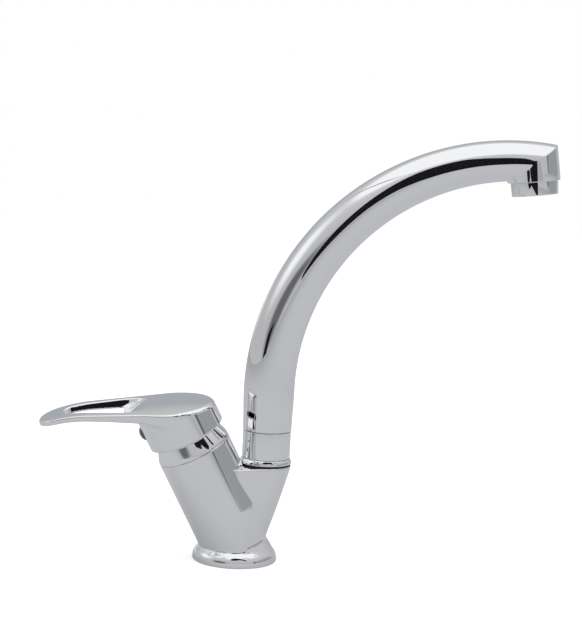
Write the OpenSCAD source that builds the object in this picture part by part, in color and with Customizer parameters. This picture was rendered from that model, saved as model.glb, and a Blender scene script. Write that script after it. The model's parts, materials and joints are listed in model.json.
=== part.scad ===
// Gooseneck basin mixer. A brass casting carries an inclined cartridge barrel with a loop
// lever, and a branch on which a tapering gooseneck spout swivels. Millimetres, Z up, origin
// at the centre of the base on the deck, +X from the lever side towards the spout side.

/* [Base] */
// Radius of the round flange that rests on the deck
flange_r = 25.5; // [25:0.5:30]
// Height of the flange's upright edge, with its rounding
flange_edge = 6; // [5:0.5:7]
// Rounding of the flange's lower corner
foot_round = 1.2; // [0.5:0.1:2]
// Rounding of the flange's upper corner
edge_round = 2; // [1:0.25:3]
// Height at which the barrel's foot meets the flange
neck_z = 8; // [7:0.5:9]
// Radius of the barrel's foot on the flange
neck_r = 21; // [20:0.5:22]
// Distance of that foot's centre from the flange's centre, towards the lever
neck_shift = 2.4; // [1:0.2:3]
// Thickness of the gasket, which lies flush in a groove under the flange
gasket_t = 2; // [1.5:0.25:2.5]
// Inner radius of the base gasket
gasket_r_in = 20; // [19:0.5:21]
// Outer radius of the base gasket
gasket_r_out = 23; // [22:0.5:24]

/* [Supplies and fixing, in the underside] */
// Radius of each supply hole, tapped M10 x 1
inlet_r = 4.5; // [4:0.1:5]
// Distance between the two supply holes
inlet_spacing = 15; // [13:0.5:17]
// Distance of the supply holes from the centre, towards the lever
inlet_back = 6; // [4:0.5:8]
// Depth of the supply holes' thread
inlet_depth = 12; // [9:0.5:14]
// Radius of the fixing stud's hole, tapped M8
stud_r = 3.4; // [3:0.1:3.6]
// Distance of the stud's hole from the centre, towards the spout
stud_x = 11; // [9:0.5:12]
// Depth of the stud's hole
stud_depth = 14; // [10:0.5:16]
// Radius of the drilled waterways
waterway_r = 3.2; // [2.5:0.1:3.5]

/* [Cartridge barrel] */
// Radius of the barrel
barrel_r = 22.5; // [22:0.25:24]
// Lean of the barrel from upright, towards the lever
barrel_tilt = 28; // [25:0.5:30]
// Where the barrel's axis meets the deck, towards the spout
barrel_x = 8; // [6:0.5:10]
// Distance along the axis from the deck to the barrel's rim
barrel_len = 77.5; // [75:0.5:82]
// Distance along the axis at which the foot starts to blend into the flange
barrel_low = 45; // [42:0.5:48]
// Depth of the cartridge's seat below the rim
seat_depth = 27.5; // [26:0.5:29]
// Radius of the cartridge's seat
seat_r = 17.9; // [17.7:0.1:18.3]
// Radius of the thread for the cartridge nut
nut_thread_r = 19.2; // [19:0.1:19.8]

/* [Cartridge] */
// Radius of the cartridge's housing
cartridge_r = 17.6; // [17:0.1:17.6]
// Thickness of the base plate with its three ports
port_plate_t = 2.5; // [2.5:0.25:3]
// Thickness of each ceramic disc
disc_t = 2.5; // [2.25:0.25:2.5]
// Radius of the fixed ceramic disc
fixed_disc_r = 14.8; // [14:0.1:14.9]
// Radius of the moving ceramic disc and its carrier
moving_disc_r = 12.4; // [11.5:0.1:12.4]
// Thickness of the carrier on the moving disc
carrier_t = 3.4; // [3:0.2:3.8]
// Height of the stem's pivot above the seat
pivot_h = 16; // [15.5:0.25:17]
// Distance from the pivot down to the stem's ball tip
stem_arm = 6; // [5.5:0.25:6.5]
// Width of the square stem
stem_w = 7.9; // [7:0.1:8]
// Length of the stem above the pivot
stem_up = 38; // [36:0.5:39]
// Lift of the lever, from closed to fully open
lift = 25; // [20:1:25]
// Radius of the pivot pin
pin_r = 1.5; // [1.2:0.1:1.8]
// Height of the cartridge's shoulder above the seat, where the nut presses
shoulder_h = 20; // [19.5:0.25:21]
// Radius of the cartridge's neck, inside the nut
neck_out_r = 13.9; // [13.5:0.1:14.2]
// Height of that neck above the shoulder
neck_h = 5; // [4:0.5:6]
// Radius of the rotor's turning neck
rotor_neck_r = 10.9; // [10.5:0.1:11.2]
// Radius of each port in the base plate and the fixed disc
port_r = 3.4; // [3:0.1:3.6]
// Distance of the two supply ports from the axis, towards the lever
supply_port_x = 5; // [4.5:0.25:5.5]
// Sideways distance of each supply port from the axis
supply_port_y = 6; // [5:0.25:6.5]
// Distance of the mixed-water port from the axis, towards the spout
mixed_port_x = 8; // [7.5:0.25:8.5]

/* [Dome ring and nut] */
// Radius of the sphere, about the stem's pivot, that rounds the dome ring's top
dome_r = 29.5; // [29:0.25:30]
// Radius of the dome ring where its round top starts
dome_waist_r = 21.2; // [20.8:0.1:21.4]
// Radius of the dome ring's mouth for the stem
dome_mouth_r = 17; // [16.5:0.25:17.5]
// Wall of the dome ring
dome_wall = 1.6; // [1.2:0.1:1.8]
// Radius of the nut's upper collar
nut_collar_r = 17.1; // [16.6:0.1:17.3]
// Height of the nut's collar above the barrel's rim
nut_collar_h = 4.5; // [4:0.25:5]

/* [Lever] */
// Turn of the lever about the barrel's axis, as photographed, seen from above
lever_turn = -17; // [-45:1:45]
// Outer radius of the cap's skirt
cap_r = 23.3; // [23:0.1:24]
// Wall of the cap's skirt
skirt_wall = 1.6; // [1.4:0.1:1.7]
// Gap along the axis between the barrel's rim and the skirt's lower edge
skirt_gap = 10.1; // [9.5:0.1:11]
// Distance along the axis from the barrel's rim to the middle of the cap's top
cap_h = 32.5; // [32:0.1:35]
// Slope of the lever's top against the cap
top_slope = 20; // [17:0.5:22]
// Height of the hollow inside the skirt
hollow_h = 8.2; // [8.2:0.1:9]
// Metal left between that hollow and the grub screw's hole
screw_floor = 0.5; // [0.4:0.1:1]
// Length of the lever from the cap's axis to its tip
lever_reach = 79; // [72:0.5:90]
// Radius of the lever's round tip, seen from above
tip_r = 13; // [11:0.5:14]
// Thickness of the lever near its tip
tip_t = 4; // [3:0.25:5]
// Thickness of the lever where it leaves the cap
root_t = 7.5; // [6:0.5:9]
// Droop of the lever's tip below the plane of its top
tip_droop = 5; // [0:0.5:7]
// Length over which the tip droops
droop_len = 31; // [20:1:40]
// Distance from the cap's axis to the near end of the loop's hole
loop_near = 10; // [9:0.5:20]
// Distance from the lever's tip to the far end of the loop's hole
loop_rim = 14; // [11:0.5:16]
// Width of the loop's hole at the cap
loop_w_near = 26; // [22:0.5:27]
// Width of the loop's hole at the tip
loop_w_far = 15; // [12:0.5:16]
// Slope of the loop hole's walls from upright, which narrows the hole downwards
loop_slope = 18; // [10:1:20]
// Slope of the loop hole's ramp at the cap, from level
ramp_slope = 25; // [20:1:60]
// Radius of the grub screw that clamps the cap to the stem
screw_r = 3; // [2.5:0.1:3.2]
// Length of the grub screw
screw_len = 10; // [8:0.5:12]
// Radius of the index plug that hides the screw
plug_r = 4.7; // [4.4:0.1:5]
// How far the plug's dome stands out of the cap
plug_out = 2.6; // [2:0.1:3]

/* [Branch] */
// Height of the branch's flat top
branch_z = 58.5; // [57:0.5:61]
// Radius of the branch under the spout
branch_r = 15.8; // [15.4:0.1:16.5]
// Distance of the spout's axis from the base's centre
spout_x = 17; // [16:0.5:20]
// Half width of the branch where it joins the barrel
web_r = 18.5; // [18:0.25:19.5]
// Where that end of the branch lies, towards the lever
web_x = -6; // [-8:0.5:-4]
// Radius of the branch at its foot
foot_r = 17.4; // [17:0.2:18]
// Radius of the thread for the spout's nipple
socket_r = 10; // [9.5:0.1:10.2]
// Depth of that thread
socket_depth = 13; // [11:0.5:14]

/* [Spout joint] */
// Thickness of the black bearing washer
washer_t = 1.1; // [0.8:0.1:1.5]
// Height of the flared slip ring
slip_h = 3.1; // [2.5:0.1:4]
// Height of the collar below the spout
collar_h = 16.5; // [14:0.5:18]
// Radius of the collar
collar_r = 14.6; // [14.4:0.1:14.8]
// Radius of the brass nipple that the spout turns on
nipple_r = 8; // [7.6:0.1:8.4]
// Bore of the nipple
nipple_bore_r = 4.8; // [4:0.1:5]
// Radius of the hub inside the spout
hub_r = 12.7; // [12.4:0.1:12.8]
// Height of the hub's running bore
hub_run = 23; // [21:0.5:24]
// Section radius of the two O-rings
oring_r = 0.9; // [0.8:0.05:1]

/* [Spout] */
// Swivel of the spout, as photographed, seen from above
spout_turn = -18; // [-180:1:180]
// Radius of the spout's lower end
tube_low_r = 14.8; // [14.7:0.1:15.2]
// Radius of the spout where its bend starts
tube_r = 15.4; // [15.2:0.1:16]
// Wall of the spout
tube_wall = 1.7; // [1.4:0.1:1.8]
// Radius of the bend's middle line
bend_r = 145.5; // [120:0.5:160]
// Height at which the bend starts
bend_z = 104; // [100:0.5:115]
// Half height of the flattened section at the bend's end
end_rise = 11.9; // [10:0.1:13]
// Radius of the round outlet head
head_r = 16.1; // [15.8:0.1:17]
// Radius of the head's rim, a little less than the head above it
head_rim_r = 15.5; // [15.2:0.1:16]
// Outward lean of the outlet head
head_lean = 7.5; // [0:0.5:10]
// Distance from the spout's axis to where the outlet's axis meets the bend's middle line
reach = 151; // [130:0.5:168]
// Height of the head's lip under the inner end of the mitre
lip_h = 1.8; // [1.2:0.1:3]

/* [Aerator] */
// Radius of the aerator's housing
aerator_r = 14.1; // [13.8:0.1:14.6]
// Height of the housing below the head
aerator_h = 8.2; // [6:0.2:10]
// Thread of the aerator in the head
aerator_thread_r = 13.5; // [13:0.1:13.6]
// Length of that thread
aerator_thread_h = 6; // [5:0.5:7]
// Radius of the bore that holds the insert
insert_r = 11; // [10.5:0.1:11.5]

/* [Hidden] */
$fn = 72;

chrome = [0.80, 0.81, 0.83];
brass = [0.78, 0.64, 0.36];
ceramic = [0.93, 0.92, 0.88];
plastic = [0.86, 0.87, 0.88];
rubber = [0.08, 0.08, 0.09];
steel = [0.62, 0.63, 0.65];
dark = [0.16, 0.17, 0.18];

// Fits: a thread or seat that is fixed, and a surface that runs
fit = 0.05;
run = 0.05;
// Overlap of a cut past the face that it opens
over = 1;
// Thickness of the slices that hulls are drawn between, and the sides of their circles
slice = 0.5;
hull_sides = 48;
// Step by which a hull's slice lies inside the round form that it runs into
blend_step = 0.05;

// Distances along the barrel's axis from the deck
seat_s = barrel_len - seat_depth;
plate_top_s = seat_s + port_plate_t;
disc_top_s = plate_top_s + disc_t;
carrier_s = disc_top_s + disc_t + run;
carrier_top_s = carrier_s + carrier_t;
pivot_s = seat_s + pivot_h;
shoulder_s = seat_s + shoulder_h;
skirt_s = barrel_len + skirt_gap;
top_s = barrel_len + cap_h;
hollow_s = skirt_s + hollow_h;
screw_s = hollow_s + screw_r + screw_floor;
dome_waist_s = pivot_s + sqrt(pow(dome_r, 2) - pow(dome_waist_r, 2));

// Radii inside the cartridge's housing
cavity_r = fixed_disc_r + 0.4;
rotor_r = cavity_r - run;
neck_in_r = rotor_neck_r + run;
rotor_s = carrier_top_s + 0.5;
rotor_top_s = shoulder_s - 1.8;
seal_t = 1.2;
seal_w = 1.4;
// Radius of the stem's ball tip, and where the index plug's seat starts
tip_ball_r = 2.2;
plug_seat = cap_r - 3;
arm_steps = 8;

// Heights up the spout's axis
washer_top = branch_z + washer_t;
slip_top = washer_top + slip_h;
collar_z = slip_top + 0.15;
collar_top = collar_z + collar_h;
tube_z = collar_top + 0.3;
hub_top = collar_z + hub_run;
clip_t = 1;
clip_z = hub_top + 0.3;
nipple_top = clip_z + clip_t + 1.6;
oring_floor = nipple_r + run - 2 * oring_r;
oring_z = [collar_z + hub_run * 0.25, collar_z + hub_run * 0.7];

// The outlet head: a mitre joins it to the bend, its axis leans out, and its rim is square to it
mitre_angle = acos(1 - reach / bend_r);
head_share = end_rise / head_r;
mitre_slope = atan2(head_share * cos(head_lean), 1 - head_share * sin(head_lean));
mitre_half = end_rise / sin(mitre_slope);
mitre_centre = arc_point(mitre_angle);
mitre_normal = [sin(mitre_slope), 0, -cos(mitre_slope)];
head_axis = [sin(head_lean), 0, -cos(head_lean)];
head_side = [cos(head_lean), 0, sin(head_lean)];
rim_centre = mitre_centre + head_axis * (mitre_half * sin(mitre_slope - head_lean) + lip_h)
    - head_side * (head_r - head_rim_r);
tube_sides = 36;
bend_rings = 26;
mitre_search = 30;
// The thread's hole in the head has flat sides, so what screws into it is this much smaller
thread_out_r = aerator_thread_r * cos(180 / tube_sides) - fit;
mitre_steps = 24;
// Height of the aerator's gasket, and the room kept clear for it and the thread in the head
gasket_h = 1.5;
clear_r = aerator_thread_r + 4 * fit;
clear_h = aerator_thread_h + gasket_h + 8 * over;
bore_share = 0.8;

// Points on an arc of a profile
function arc(centre, r, from, to, n = 6) =
    [for (i = [0:n]) let (a = from + (to - from) * i / n) centre + r * [cos(a), sin(a)]];

// The bend's middle line, in the spout's own plane, and the outward normal along it
function arc_point(a) = [bend_r * (1 - cos(a)), 0, bend_z + bend_r * sin(a)];
function arc_normal(a) = [-cos(a), 0, sin(a)];

// Half sizes of the spout's section, which flattens along the bend
function rise(a) = tube_r + (end_rise - tube_r) * pow(a / mitre_angle, 1.3);
function span(a) = tube_r + (head_r - tube_r) * a / mitre_angle;
function skin_point(a, psi, inset) = arc_point(a) + (span(a) - inset) * cos(psi) * [0, 1, 0]
    + (rise(a) - inset) * sin(psi) * arc_normal(a);

// The angle at which one line of the skin reaches the mitre's plane, by halving
function mitre_cut(psi, inset, low, high, n) = n == 0 ? low
    : let (mid = (low + high) / 2)
      (skin_point(mid, psi, inset) - mitre_centre) * mitre_normal > 0
          ? mitre_cut(psi, inset, low, mid, n - 1)
          : mitre_cut(psi, inset, mid, high, n - 1);

function round_ring(centre, side, r) =
    [for (k = [0:tube_sides - 1]) let (psi = 360 * k / tube_sides)
        centre + r * cos(psi) * [0, 1, 0] + r * sin(psi) * side];

// One skin of the spout, from its foot up the bend to the mitre
function bend_skin(inset) = let (ends = [for (k = [0:tube_sides - 1])
        mitre_cut(360 * k / tube_sides, inset, mitre_angle - mitre_search,
            mitre_angle + mitre_search, mitre_steps)])
    [for (i = [0:bend_rings])
        [for (k = [0:tube_sides - 1])
            skin_point(ends[k] * i / bend_rings, 360 * k / tube_sides, inset)]];

// A point of the inside, kept outside the hole that the aerator's thread and gasket need
function clear_thread(p) = let (v = p - rim_centre, up = -(v * head_axis),
        out = v + up * head_axis, r = norm(out))
    up < clear_h && r < clear_r && r > clear_r / 2 ? p + out * (clear_r / r - 1) : p;

// The top of the head's bore for thread and gasket, below the inside's ring at the mitre
function bore_ring(ring) = [for (p = ring) let (v = p - rim_centre, up = -(v * head_axis),
        out = v + up * head_axis)
    rim_centre - min(clear_h, bore_share * up) * head_axis + out * clear_r / norm(out)];

// The spout's rings in order: up the outside, in at the head's rim, and down the inside
function spout_rings() = concat(
    [round_ring([0, 0, tube_z], [-1, 0, 0], tube_low_r)],
    bend_skin(0),
    [round_ring(rim_centre, head_side, head_rim_r),
        round_ring(rim_centre, head_side, aerator_thread_r),
        bore_ring(bend_skin(tube_wall)[bend_rings])],
    [for (ring = reverse(bend_skin(tube_wall))) [for (p = ring) clear_thread(p)]],
    [round_ring([0, 0, tube_z], [-1, 0, 0], tube_low_r - tube_wall)]);

function reverse(list) = [for (i = [len(list) - 1:-1:0]) list[i]];

// Faces between rings that close on themselves, like a tube bent into a loop
function loop_faces(rings) = [for (j = [0:rings - 1]) for (k = [0:tube_sides - 1])
    let (up = (j + 1) % rings, next = (k + 1) % tube_sides,
        a = j * tube_sides + k, b = up * tube_sides + k,
        c = up * tube_sides + next, d = j * tube_sides + next)
    each [[a, b, c], [a, c, d]]];

// Depth of the lever's top and of its underside below the top's plane, at a distance x from
// the cap's axis
function topside(x) = tip_droop * pow(max(0, (x - lever_reach + droop_len) / droop_len), 2);
function underside(x) = let (share = (lever_reach - x) / (lever_reach - cap_r))
    topside(x) + tip_t + (root_t - tip_t) * pow(max(0, share), 2);

module in_barrel() translate([barrel_x, 0, 0]) rotate([0, -barrel_tilt, 0]) children();

module in_lever() in_barrel() rotate([0, 0, lever_turn]) children();

module in_top() in_lever() translate([0, 0, top_s]) rotate([0, top_slope, 0]) children();

module in_spout() translate([spout_x, 0, 0]) rotate([0, 0, spout_turn]) children();

// The outlet head's own frame: origin at the rim's centre, +Z up the head's axis
module in_head() in_spout() translate(rim_centre) rotate([0, -head_lean, 0]) children();

module at_s(s) translate([0, 0, s]) children();

module pipe(r_out, r_in, h) difference() {
    cylinder(r = r_out, h = h);
    translate([0, 0, -over]) cylinder(r = r_in, h = h + 2 * over);
}

module bore_between(a, b, r) {
    d = b - a;
    translate(a) rotate([0, acos(d.z / norm(d)), atan2(d.y, d.x)]) cylinder(r = r, h = norm(d));
}

// A point given in the barrel's frame, in the part's frame
function from_barrel(p) = [barrel_x + p.x * cos(barrel_tilt) - p.z * sin(barrel_tilt), p.y,
    p.x * sin(barrel_tilt) + p.z * cos(barrel_tilt)];

module flange_form() {
    fillet = 6;
    slope_end = 235;
    rotate_extrude() polygon(concat([[0, 0]],
        arc([flange_r - foot_round, foot_round], foot_round, -90, 0),
        arc([flange_r - edge_round, flange_edge - edge_round], edge_round, 0, 50),
        arc([foot_r + fillet + foot_round, neck_z + fillet + 1], fillet, slope_end, 180),
        [[0, neck_z + fillet + 1]]));
}

module barrel_form() {
    in_barrel() at_s(barrel_low) cylinder(r = barrel_r, h = barrel_len - barrel_low);
    hull() {
        in_barrel() at_s(barrel_low) cylinder(r = barrel_r - blend_step, h = slice, $fn = hull_sides);
        translate([-neck_shift, 0, neck_z - slice]) cylinder(r = neck_r, h = slice, $fn = hull_sides);
    }
}

module branch_form() hull() {
    translate([spout_x, 0, branch_z - slice]) cylinder(r = branch_r, h = slice, $fn = hull_sides);
    translate([web_x, 0, branch_z - slice]) cylinder(r = web_r, h = slice, $fn = hull_sides);
    translate([0, 0, neck_z]) cylinder(r = foot_r, h = slice, $fn = hull_sides);
}

module cartridge_seat() in_barrel() {
    at_s(seat_s) cylinder(r = seat_r, h = seat_depth + over);
    at_s(shoulder_s - over) cylinder(r = nut_thread_r, h = barrel_len - shoulder_s + 2 * over);
}

module waterways() {
    socket_floor = branch_z - socket_depth;
    mixed_low = 8;
    for (side = [-1, 1]) {
        inlet = [-inlet_back, side * inlet_spacing / 2, 0];
        port = from_barrel([-supply_port_x, side * supply_port_y, seat_s + over]);
        bore_between(inlet + [0, 0, inlet_depth + waterway_r / 2], port, waterway_r);
        translate(inlet + [0, 0, inlet_depth - over])
            cylinder(r = waterway_r + 0.2, h = 2 * waterway_r);
        translate(inlet - [0, 0, over]) cylinder(r = inlet_r, h = inlet_depth + over);
    }
    in_barrel() translate([mixed_port_x, 0, seat_s - mixed_low])
        cylinder(r = waterway_r, h = mixed_low + over);
    bore_between(from_barrel([mixed_port_x, 0, seat_s - mixed_low + waterway_r]),
        [spout_x, 0, socket_floor - waterway_r], waterway_r);
    translate([spout_x, 0, socket_floor - 2 * waterway_r])
        cylinder(r = waterway_r, h = 2 * waterway_r + over);
    translate([spout_x, 0, socket_floor]) cylinder(r = socket_r, h = socket_depth + over);
    translate([stud_x, 0, -over]) cylinder(r = stud_r, h = stud_depth + over);
}

module body_casting() color(chrome) difference() {
    union() {
        flange_form();
        barrel_form();
        branch_form();
    }
    cartridge_seat();
    waterways();
    // The seat under the slip ring is faced into the barrel's side
    translate([spout_x, 0, branch_z]) cylinder(r = branch_r + 6 * run, h = washer_t + slip_h + run);
    translate([0, 0, -over]) pipe(gasket_r_out, gasket_r_in, gasket_t + over);
}

module base_gasket() color(rubber) pipe(gasket_r_out - fit, gasket_r_in + fit, gasket_t - fit);

module dome_ring() color(chrome) in_barrel() {
    mouth = acos(dome_mouth_r / dome_r);
    waist = acos(dome_waist_r / dome_r);
    inner = dome_r - dome_wall;
    rotate_extrude() polygon(concat(
        [[barrel_r, barrel_len], [dome_waist_r, dome_waist_s]],
        arc([0, pivot_s], dome_r, waist, mouth),
        arc([0, pivot_s], inner, acos(dome_mouth_r / inner), acos((dome_waist_r - dome_wall) / inner)),
        [[barrel_r - dome_wall, barrel_len]]));
    at_s(barrel_len + over) pipe(barrel_r - dome_wall / 2, nut_collar_r + run, dome_wall);
}

module cartridge_nut() color(brass) in_barrel() difference() {
    union() {
        at_s(shoulder_s) cylinder(r = nut_thread_r - fit, h = barrel_len - shoulder_s);
        at_s(barrel_len) cylinder(r = nut_collar_r, h = nut_collar_h);
    }
    at_s(shoulder_s - over) cylinder(r = neck_out_r + 0.3, h = barrel_len + nut_collar_h);
}

module cartridge_housing() color(plastic) in_barrel() difference() {
    union() {
        at_s(plate_top_s) cylinder(r = cartridge_r, h = shoulder_s - plate_top_s);
        at_s(shoulder_s) cylinder(r = neck_out_r, h = neck_h);
    }
    at_s(plate_top_s - over) cylinder(r = cavity_r, h = rotor_top_s + run - plate_top_s + over);
    at_s(plate_top_s) cylinder(r = neck_in_r, h = shoulder_s + neck_h);
}

module ports(s, h, r) {
    for (side = [-1, 1])
        translate([-supply_port_x, side * supply_port_y, s - over]) cylinder(r = r, h = h + 2 * over);
    translate([mixed_port_x, 0, s - over]) cylinder(r = r, h = h + 2 * over);
}

module port_plate() color(plastic) in_barrel() difference() {
    at_s(seat_s) cylinder(r = cartridge_r, h = port_plate_t);
    ports(seat_s, port_plate_t, port_r);
    ports(seat_s - over, seal_t, port_r + seal_w);
}

module port_seals() color(rubber) in_barrel() {
    for (side = [-1, 1])
        translate([-supply_port_x, side * supply_port_y, seat_s])
            pipe(port_r + seal_w - fit, port_r, seal_t - fit);
    translate([mixed_port_x, 0, seat_s]) pipe(port_r + seal_w - fit, port_r, seal_t - fit);
}

module fixed_disc() color(ceramic) in_barrel() difference() {
    at_s(plate_top_s) cylinder(r = fixed_disc_r, h = disc_t);
    ports(plate_top_s, disc_t, port_r);
}

// The moving disc has a hollow below that joins the ports when it slides
module moving_disc() color(ceramic) in_lever() difference() {
    at_s(disc_top_s + run) cylinder(r = moving_disc_r, h = disc_t);
    hull() for (x = [0, mixed_port_x])
        translate([x, 0, disc_top_s]) cylinder(r = port_r - 1, h = disc_t / 2, $fn = 32);
}

module disc_carrier() color(plastic) in_lever() difference() {
    at_s(carrier_s) cylinder(r = moving_disc_r, h = carrier_t);
    at_s(carrier_s - over) cylinder(r = tip_ball_r + 0.4, h = carrier_t + 2 * over);
}

module rotor() color(plastic) in_lever() difference() {
    // Half length of the slot in which the lifted stem leans
    slot = (stem_w / 2 + (shoulder_s + neck_h - pivot_s) * sin(lift)) / cos(lift) + 4 * run;
    union() {
        at_s(rotor_s) cylinder(r = rotor_r, h = rotor_top_s - rotor_s);
        at_s(rotor_s) cylinder(r = rotor_neck_r, h = shoulder_s + neck_h - rotor_s);
    }
    translate([-slot, -stem_w / 2 - run, rotor_s - over])
        cube([2 * slot, stem_w + 2 * run, shoulder_s + neck_h]);
    at_s(pivot_s) rotate([90, 0, 0]) cylinder(r = pin_r, h = 2 * rotor_r + over, center = true);
}

module stem_pin() color(steel) in_lever() at_s(pivot_s) rotate([90, 0, 0])
    cylinder(r = pin_r, h = 2 * (rotor_r - 1), center = true);

module stem() color(steel) in_lever() difference() {
    union() {
        translate([-stem_w / 2, -stem_w / 2, pivot_s - stem_arm / 2])
            cube([stem_w, stem_w, stem_up + stem_arm / 2]);
        at_s(pivot_s - stem_arm) cylinder(r = tip_ball_r * 0.8, h = stem_arm);
        at_s(pivot_s - stem_arm) sphere(r = tip_ball_r);
    }
    at_s(pivot_s) rotate([90, 0, 0]) cylinder(r = pin_r + run, h = 2 * stem_w, center = true);
}

// Slopes of the loop's hole narrow it towards the underside
module loop_hole() in_top() hull() {
    near_x = loop_near + loop_w_near / 2;
    far_x = lever_reach - loop_rim - loop_w_far / 2;
    drop = root_t + over;
    far_drop = drop + tip_droop / 2;
    shrink = drop * tan(loop_slope);
    lean = drop / tan(ramp_slope) - shrink;
    far_shrink = far_drop * tan(loop_slope);
    translate([-near_x, 0, 0]) cylinder(r = loop_w_near / 2, h = over);
    translate([-near_x - lean, 0, -drop]) cylinder(r = loop_w_near / 2 - shrink, h = slice);
    translate([-far_x, 0, 0]) cylinder(r = loop_w_far / 2, h = over);
    translate([-far_x, 0, -far_drop]) cylinder(r = loop_w_far / 2 - far_shrink, h = slice);
}

module cap_form() intersection() {
    in_lever() at_s(skirt_s) cylinder(r = cap_r, h = 2 * cap_r);
    in_top() translate([-2 * cap_r, -2 * cap_r, -4 * cap_r]) cube(4 * cap_r);
}

module arm_form() in_top() intersection() {
    translate([0, 0, -root_t - tip_droop]) linear_extrude(root_t + tip_droop) hull() {
        translate([-1, 0]) circle(r = cap_r - 0.6);
        translate([-(lever_reach - tip_r), 0]) circle(r = tip_r);
    }
    rotate([90, 0, 0]) translate([0, 0, -cap_r]) linear_extrude(2 * cap_r) polygon(concat(
        [[0, 0]],
        [for (i = [0:arm_steps]) let (x = lever_reach - droop_len * (1 - i / arm_steps))
            [-x, -topside(x)]],
        [for (i = [0:arm_steps]) let (x = lever_reach - (lever_reach - cap_r + 2) * i / arm_steps)
            [-x, -underside(x)]],
        [[0, -root_t]]));
}

module lever_handle() color(chrome) difference() {
    union() {
        cap_form();
        arm_form();
    }
    in_lever() {
        at_s(skirt_s - over) cylinder(r = cap_r - skirt_wall, h = hollow_h + over);
        translate([-stem_w / 2 - run, -stem_w / 2 - run, hollow_s - over])
            cube([stem_w + 2 * run, stem_w + 2 * run, pivot_s + stem_up - hollow_s + over + run]);
        at_s(screw_s) rotate([0, -90, 0]) cylinder(r = screw_r, h = cap_r + over);
        at_s(screw_s) rotate([0, -90, 0]) translate([0, 0, plug_seat]) cylinder(r = plug_r, h = cap_r);
    }
    loop_hole();
}

module grub_screw() color(steel) in_lever() at_s(screw_s) rotate([0, -90, 0])
    translate([0, 0, stem_w / 2]) difference() {
        cylinder(r = screw_r - fit, h = screw_len);
        translate([0, 0, screw_len - 3]) cylinder(r = screw_r / 2, h = 3 + over, $fn = 6);
    }

module index_plug() color(dark) in_lever() at_s(screw_s) rotate([0, -90, 0]) {
    dome = (pow(plug_r, 2) + pow(plug_out, 2)) / (2 * plug_out);
    base = cap_r - plug_seat - 0.6;
    translate([0, 0, plug_seat]) cylinder(r = plug_r - fit, h = base);
    translate([0, 0, plug_seat + base]) intersection() {
        translate([0, 0, plug_out - dome]) sphere(r = dome);
        cylinder(r = plug_r - fit, h = plug_out);
    }
}

module spout_nipple() color(brass) translate([spout_x, 0, 0]) difference() {
    union() {
        translate([0, 0, branch_z - socket_depth + 1]) cylinder(r = socket_r - fit, h = socket_depth - 1);
        translate([0, 0, branch_z]) cylinder(r = socket_r + 1, h = washer_t - 0.2);
        translate([0, 0, branch_z]) cylinder(r = nipple_r, h = nipple_top - branch_z);
    }
    translate([0, 0, branch_z - socket_depth]) cylinder(r = nipple_bore_r, h = nipple_top);
    for (z = oring_z) translate([0, 0, z - oring_r]) pipe(nipple_r + over, oring_floor, 2 * oring_r);
    translate([0, 0, clip_z]) pipe(nipple_r + over, nipple_r - 1, clip_t);
}

module nipple_orings() color(rubber) translate([spout_x, 0, 0]) for (z = oring_z)
    translate([0, 0, z]) rotate_extrude() translate([oring_floor + oring_r, 0])
        circle(r = oring_r - 0.02, $fn = 24);

module retaining_clip() color(steel) translate([spout_x, 0, clip_z]) difference() {
    pipe(nipple_r + 1.8, nipple_r - 1 + fit, clip_t);
    translate([0, -1.5, -over]) cube([nipple_r * 2, 3, clip_t + 2 * over]);
}

module bearing_washer() color(rubber) translate([spout_x, 0, branch_z])
    pipe(branch_r - 0.5, socket_r + 1.1, washer_t);

module slip_ring() color(chrome) translate([spout_x, 0, 0]) rotate_extrude() polygon([
    [nipple_r + 0.1, washer_top], [branch_r, washer_top], [branch_r, washer_top + 0.6],
    [collar_r + 0.25, slip_top - 0.8], [collar_r, slip_top], [nipple_r + 0.1, slip_top]]);

module spout_collar() color(chrome) in_spout() translate([0, 0, collar_z])
    pipe(collar_r, hub_r + fit, collar_h);

module spout_hub() color(brass) in_spout() difference() {
    translate([0, 0, collar_z]) cylinder(r = hub_r, h = nipple_top + 1 - collar_z);
    translate([0, 0, collar_z - over]) cylinder(r = nipple_r + run, h = hub_run + 2 * over);
    translate([0, 0, hub_top]) cylinder(r = nipple_r + 2.2, h = 2 * hub_run);
}

module spout_tube() color(chrome) in_spout() {
    rings = spout_rings();
    polyhedron([for (ring = rings) each ring], loop_faces(len(rings)), 6);
}

module aerator_housing() color(chrome) in_head() difference() {
    union() {
        cylinder(r = thread_out_r, h = aerator_thread_h);
        rotate([180, 0, 0]) cylinder(r1 = aerator_r, r2 = aerator_r - 0.4, h = aerator_h);
    }
    translate([0, 0, -aerator_h - over]) cylinder(r = insert_r, h = aerator_h + aerator_thread_h + 2 * over);
}

module aerator_insert() color(plastic) in_head() translate([0, 0, 1 - aerator_h]) difference() {
    pitch = 3.6;
    hole_r = 1.2;
    cylinder(r = insert_r - fit, h = aerator_h);
    for (ring = [0:2]) for (k = [0:max(0, 6 * ring - 1)])
        rotate([0, 0, ring == 0 ? 0 : 60 * k / ring]) translate([pitch * ring, 0, -over])
            cylinder(r = hole_r, h = aerator_h + 2 * over, $fn = 24);
}

module aerator_gasket() color(rubber) in_head() translate([0, 0, aerator_thread_h])
    pipe(thread_out_r - 3 * fit, insert_r, gasket_h);

body_casting();
base_gasket();
dome_ring();
cartridge_nut();
cartridge_housing();
port_plate();
port_seals();
fixed_disc();
moving_disc();
disc_carrier();
rotor();
stem_pin();
stem();
lever_handle();
grub_screw();
index_plug();
spout_nipple();
nipple_orings();
retaining_clip();
bearing_washer();
slip_ring();
spout_collar();
spout_hub();
spout_tube();
aerator_housing();
aerator_insert();
aerator_gasket();
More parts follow.
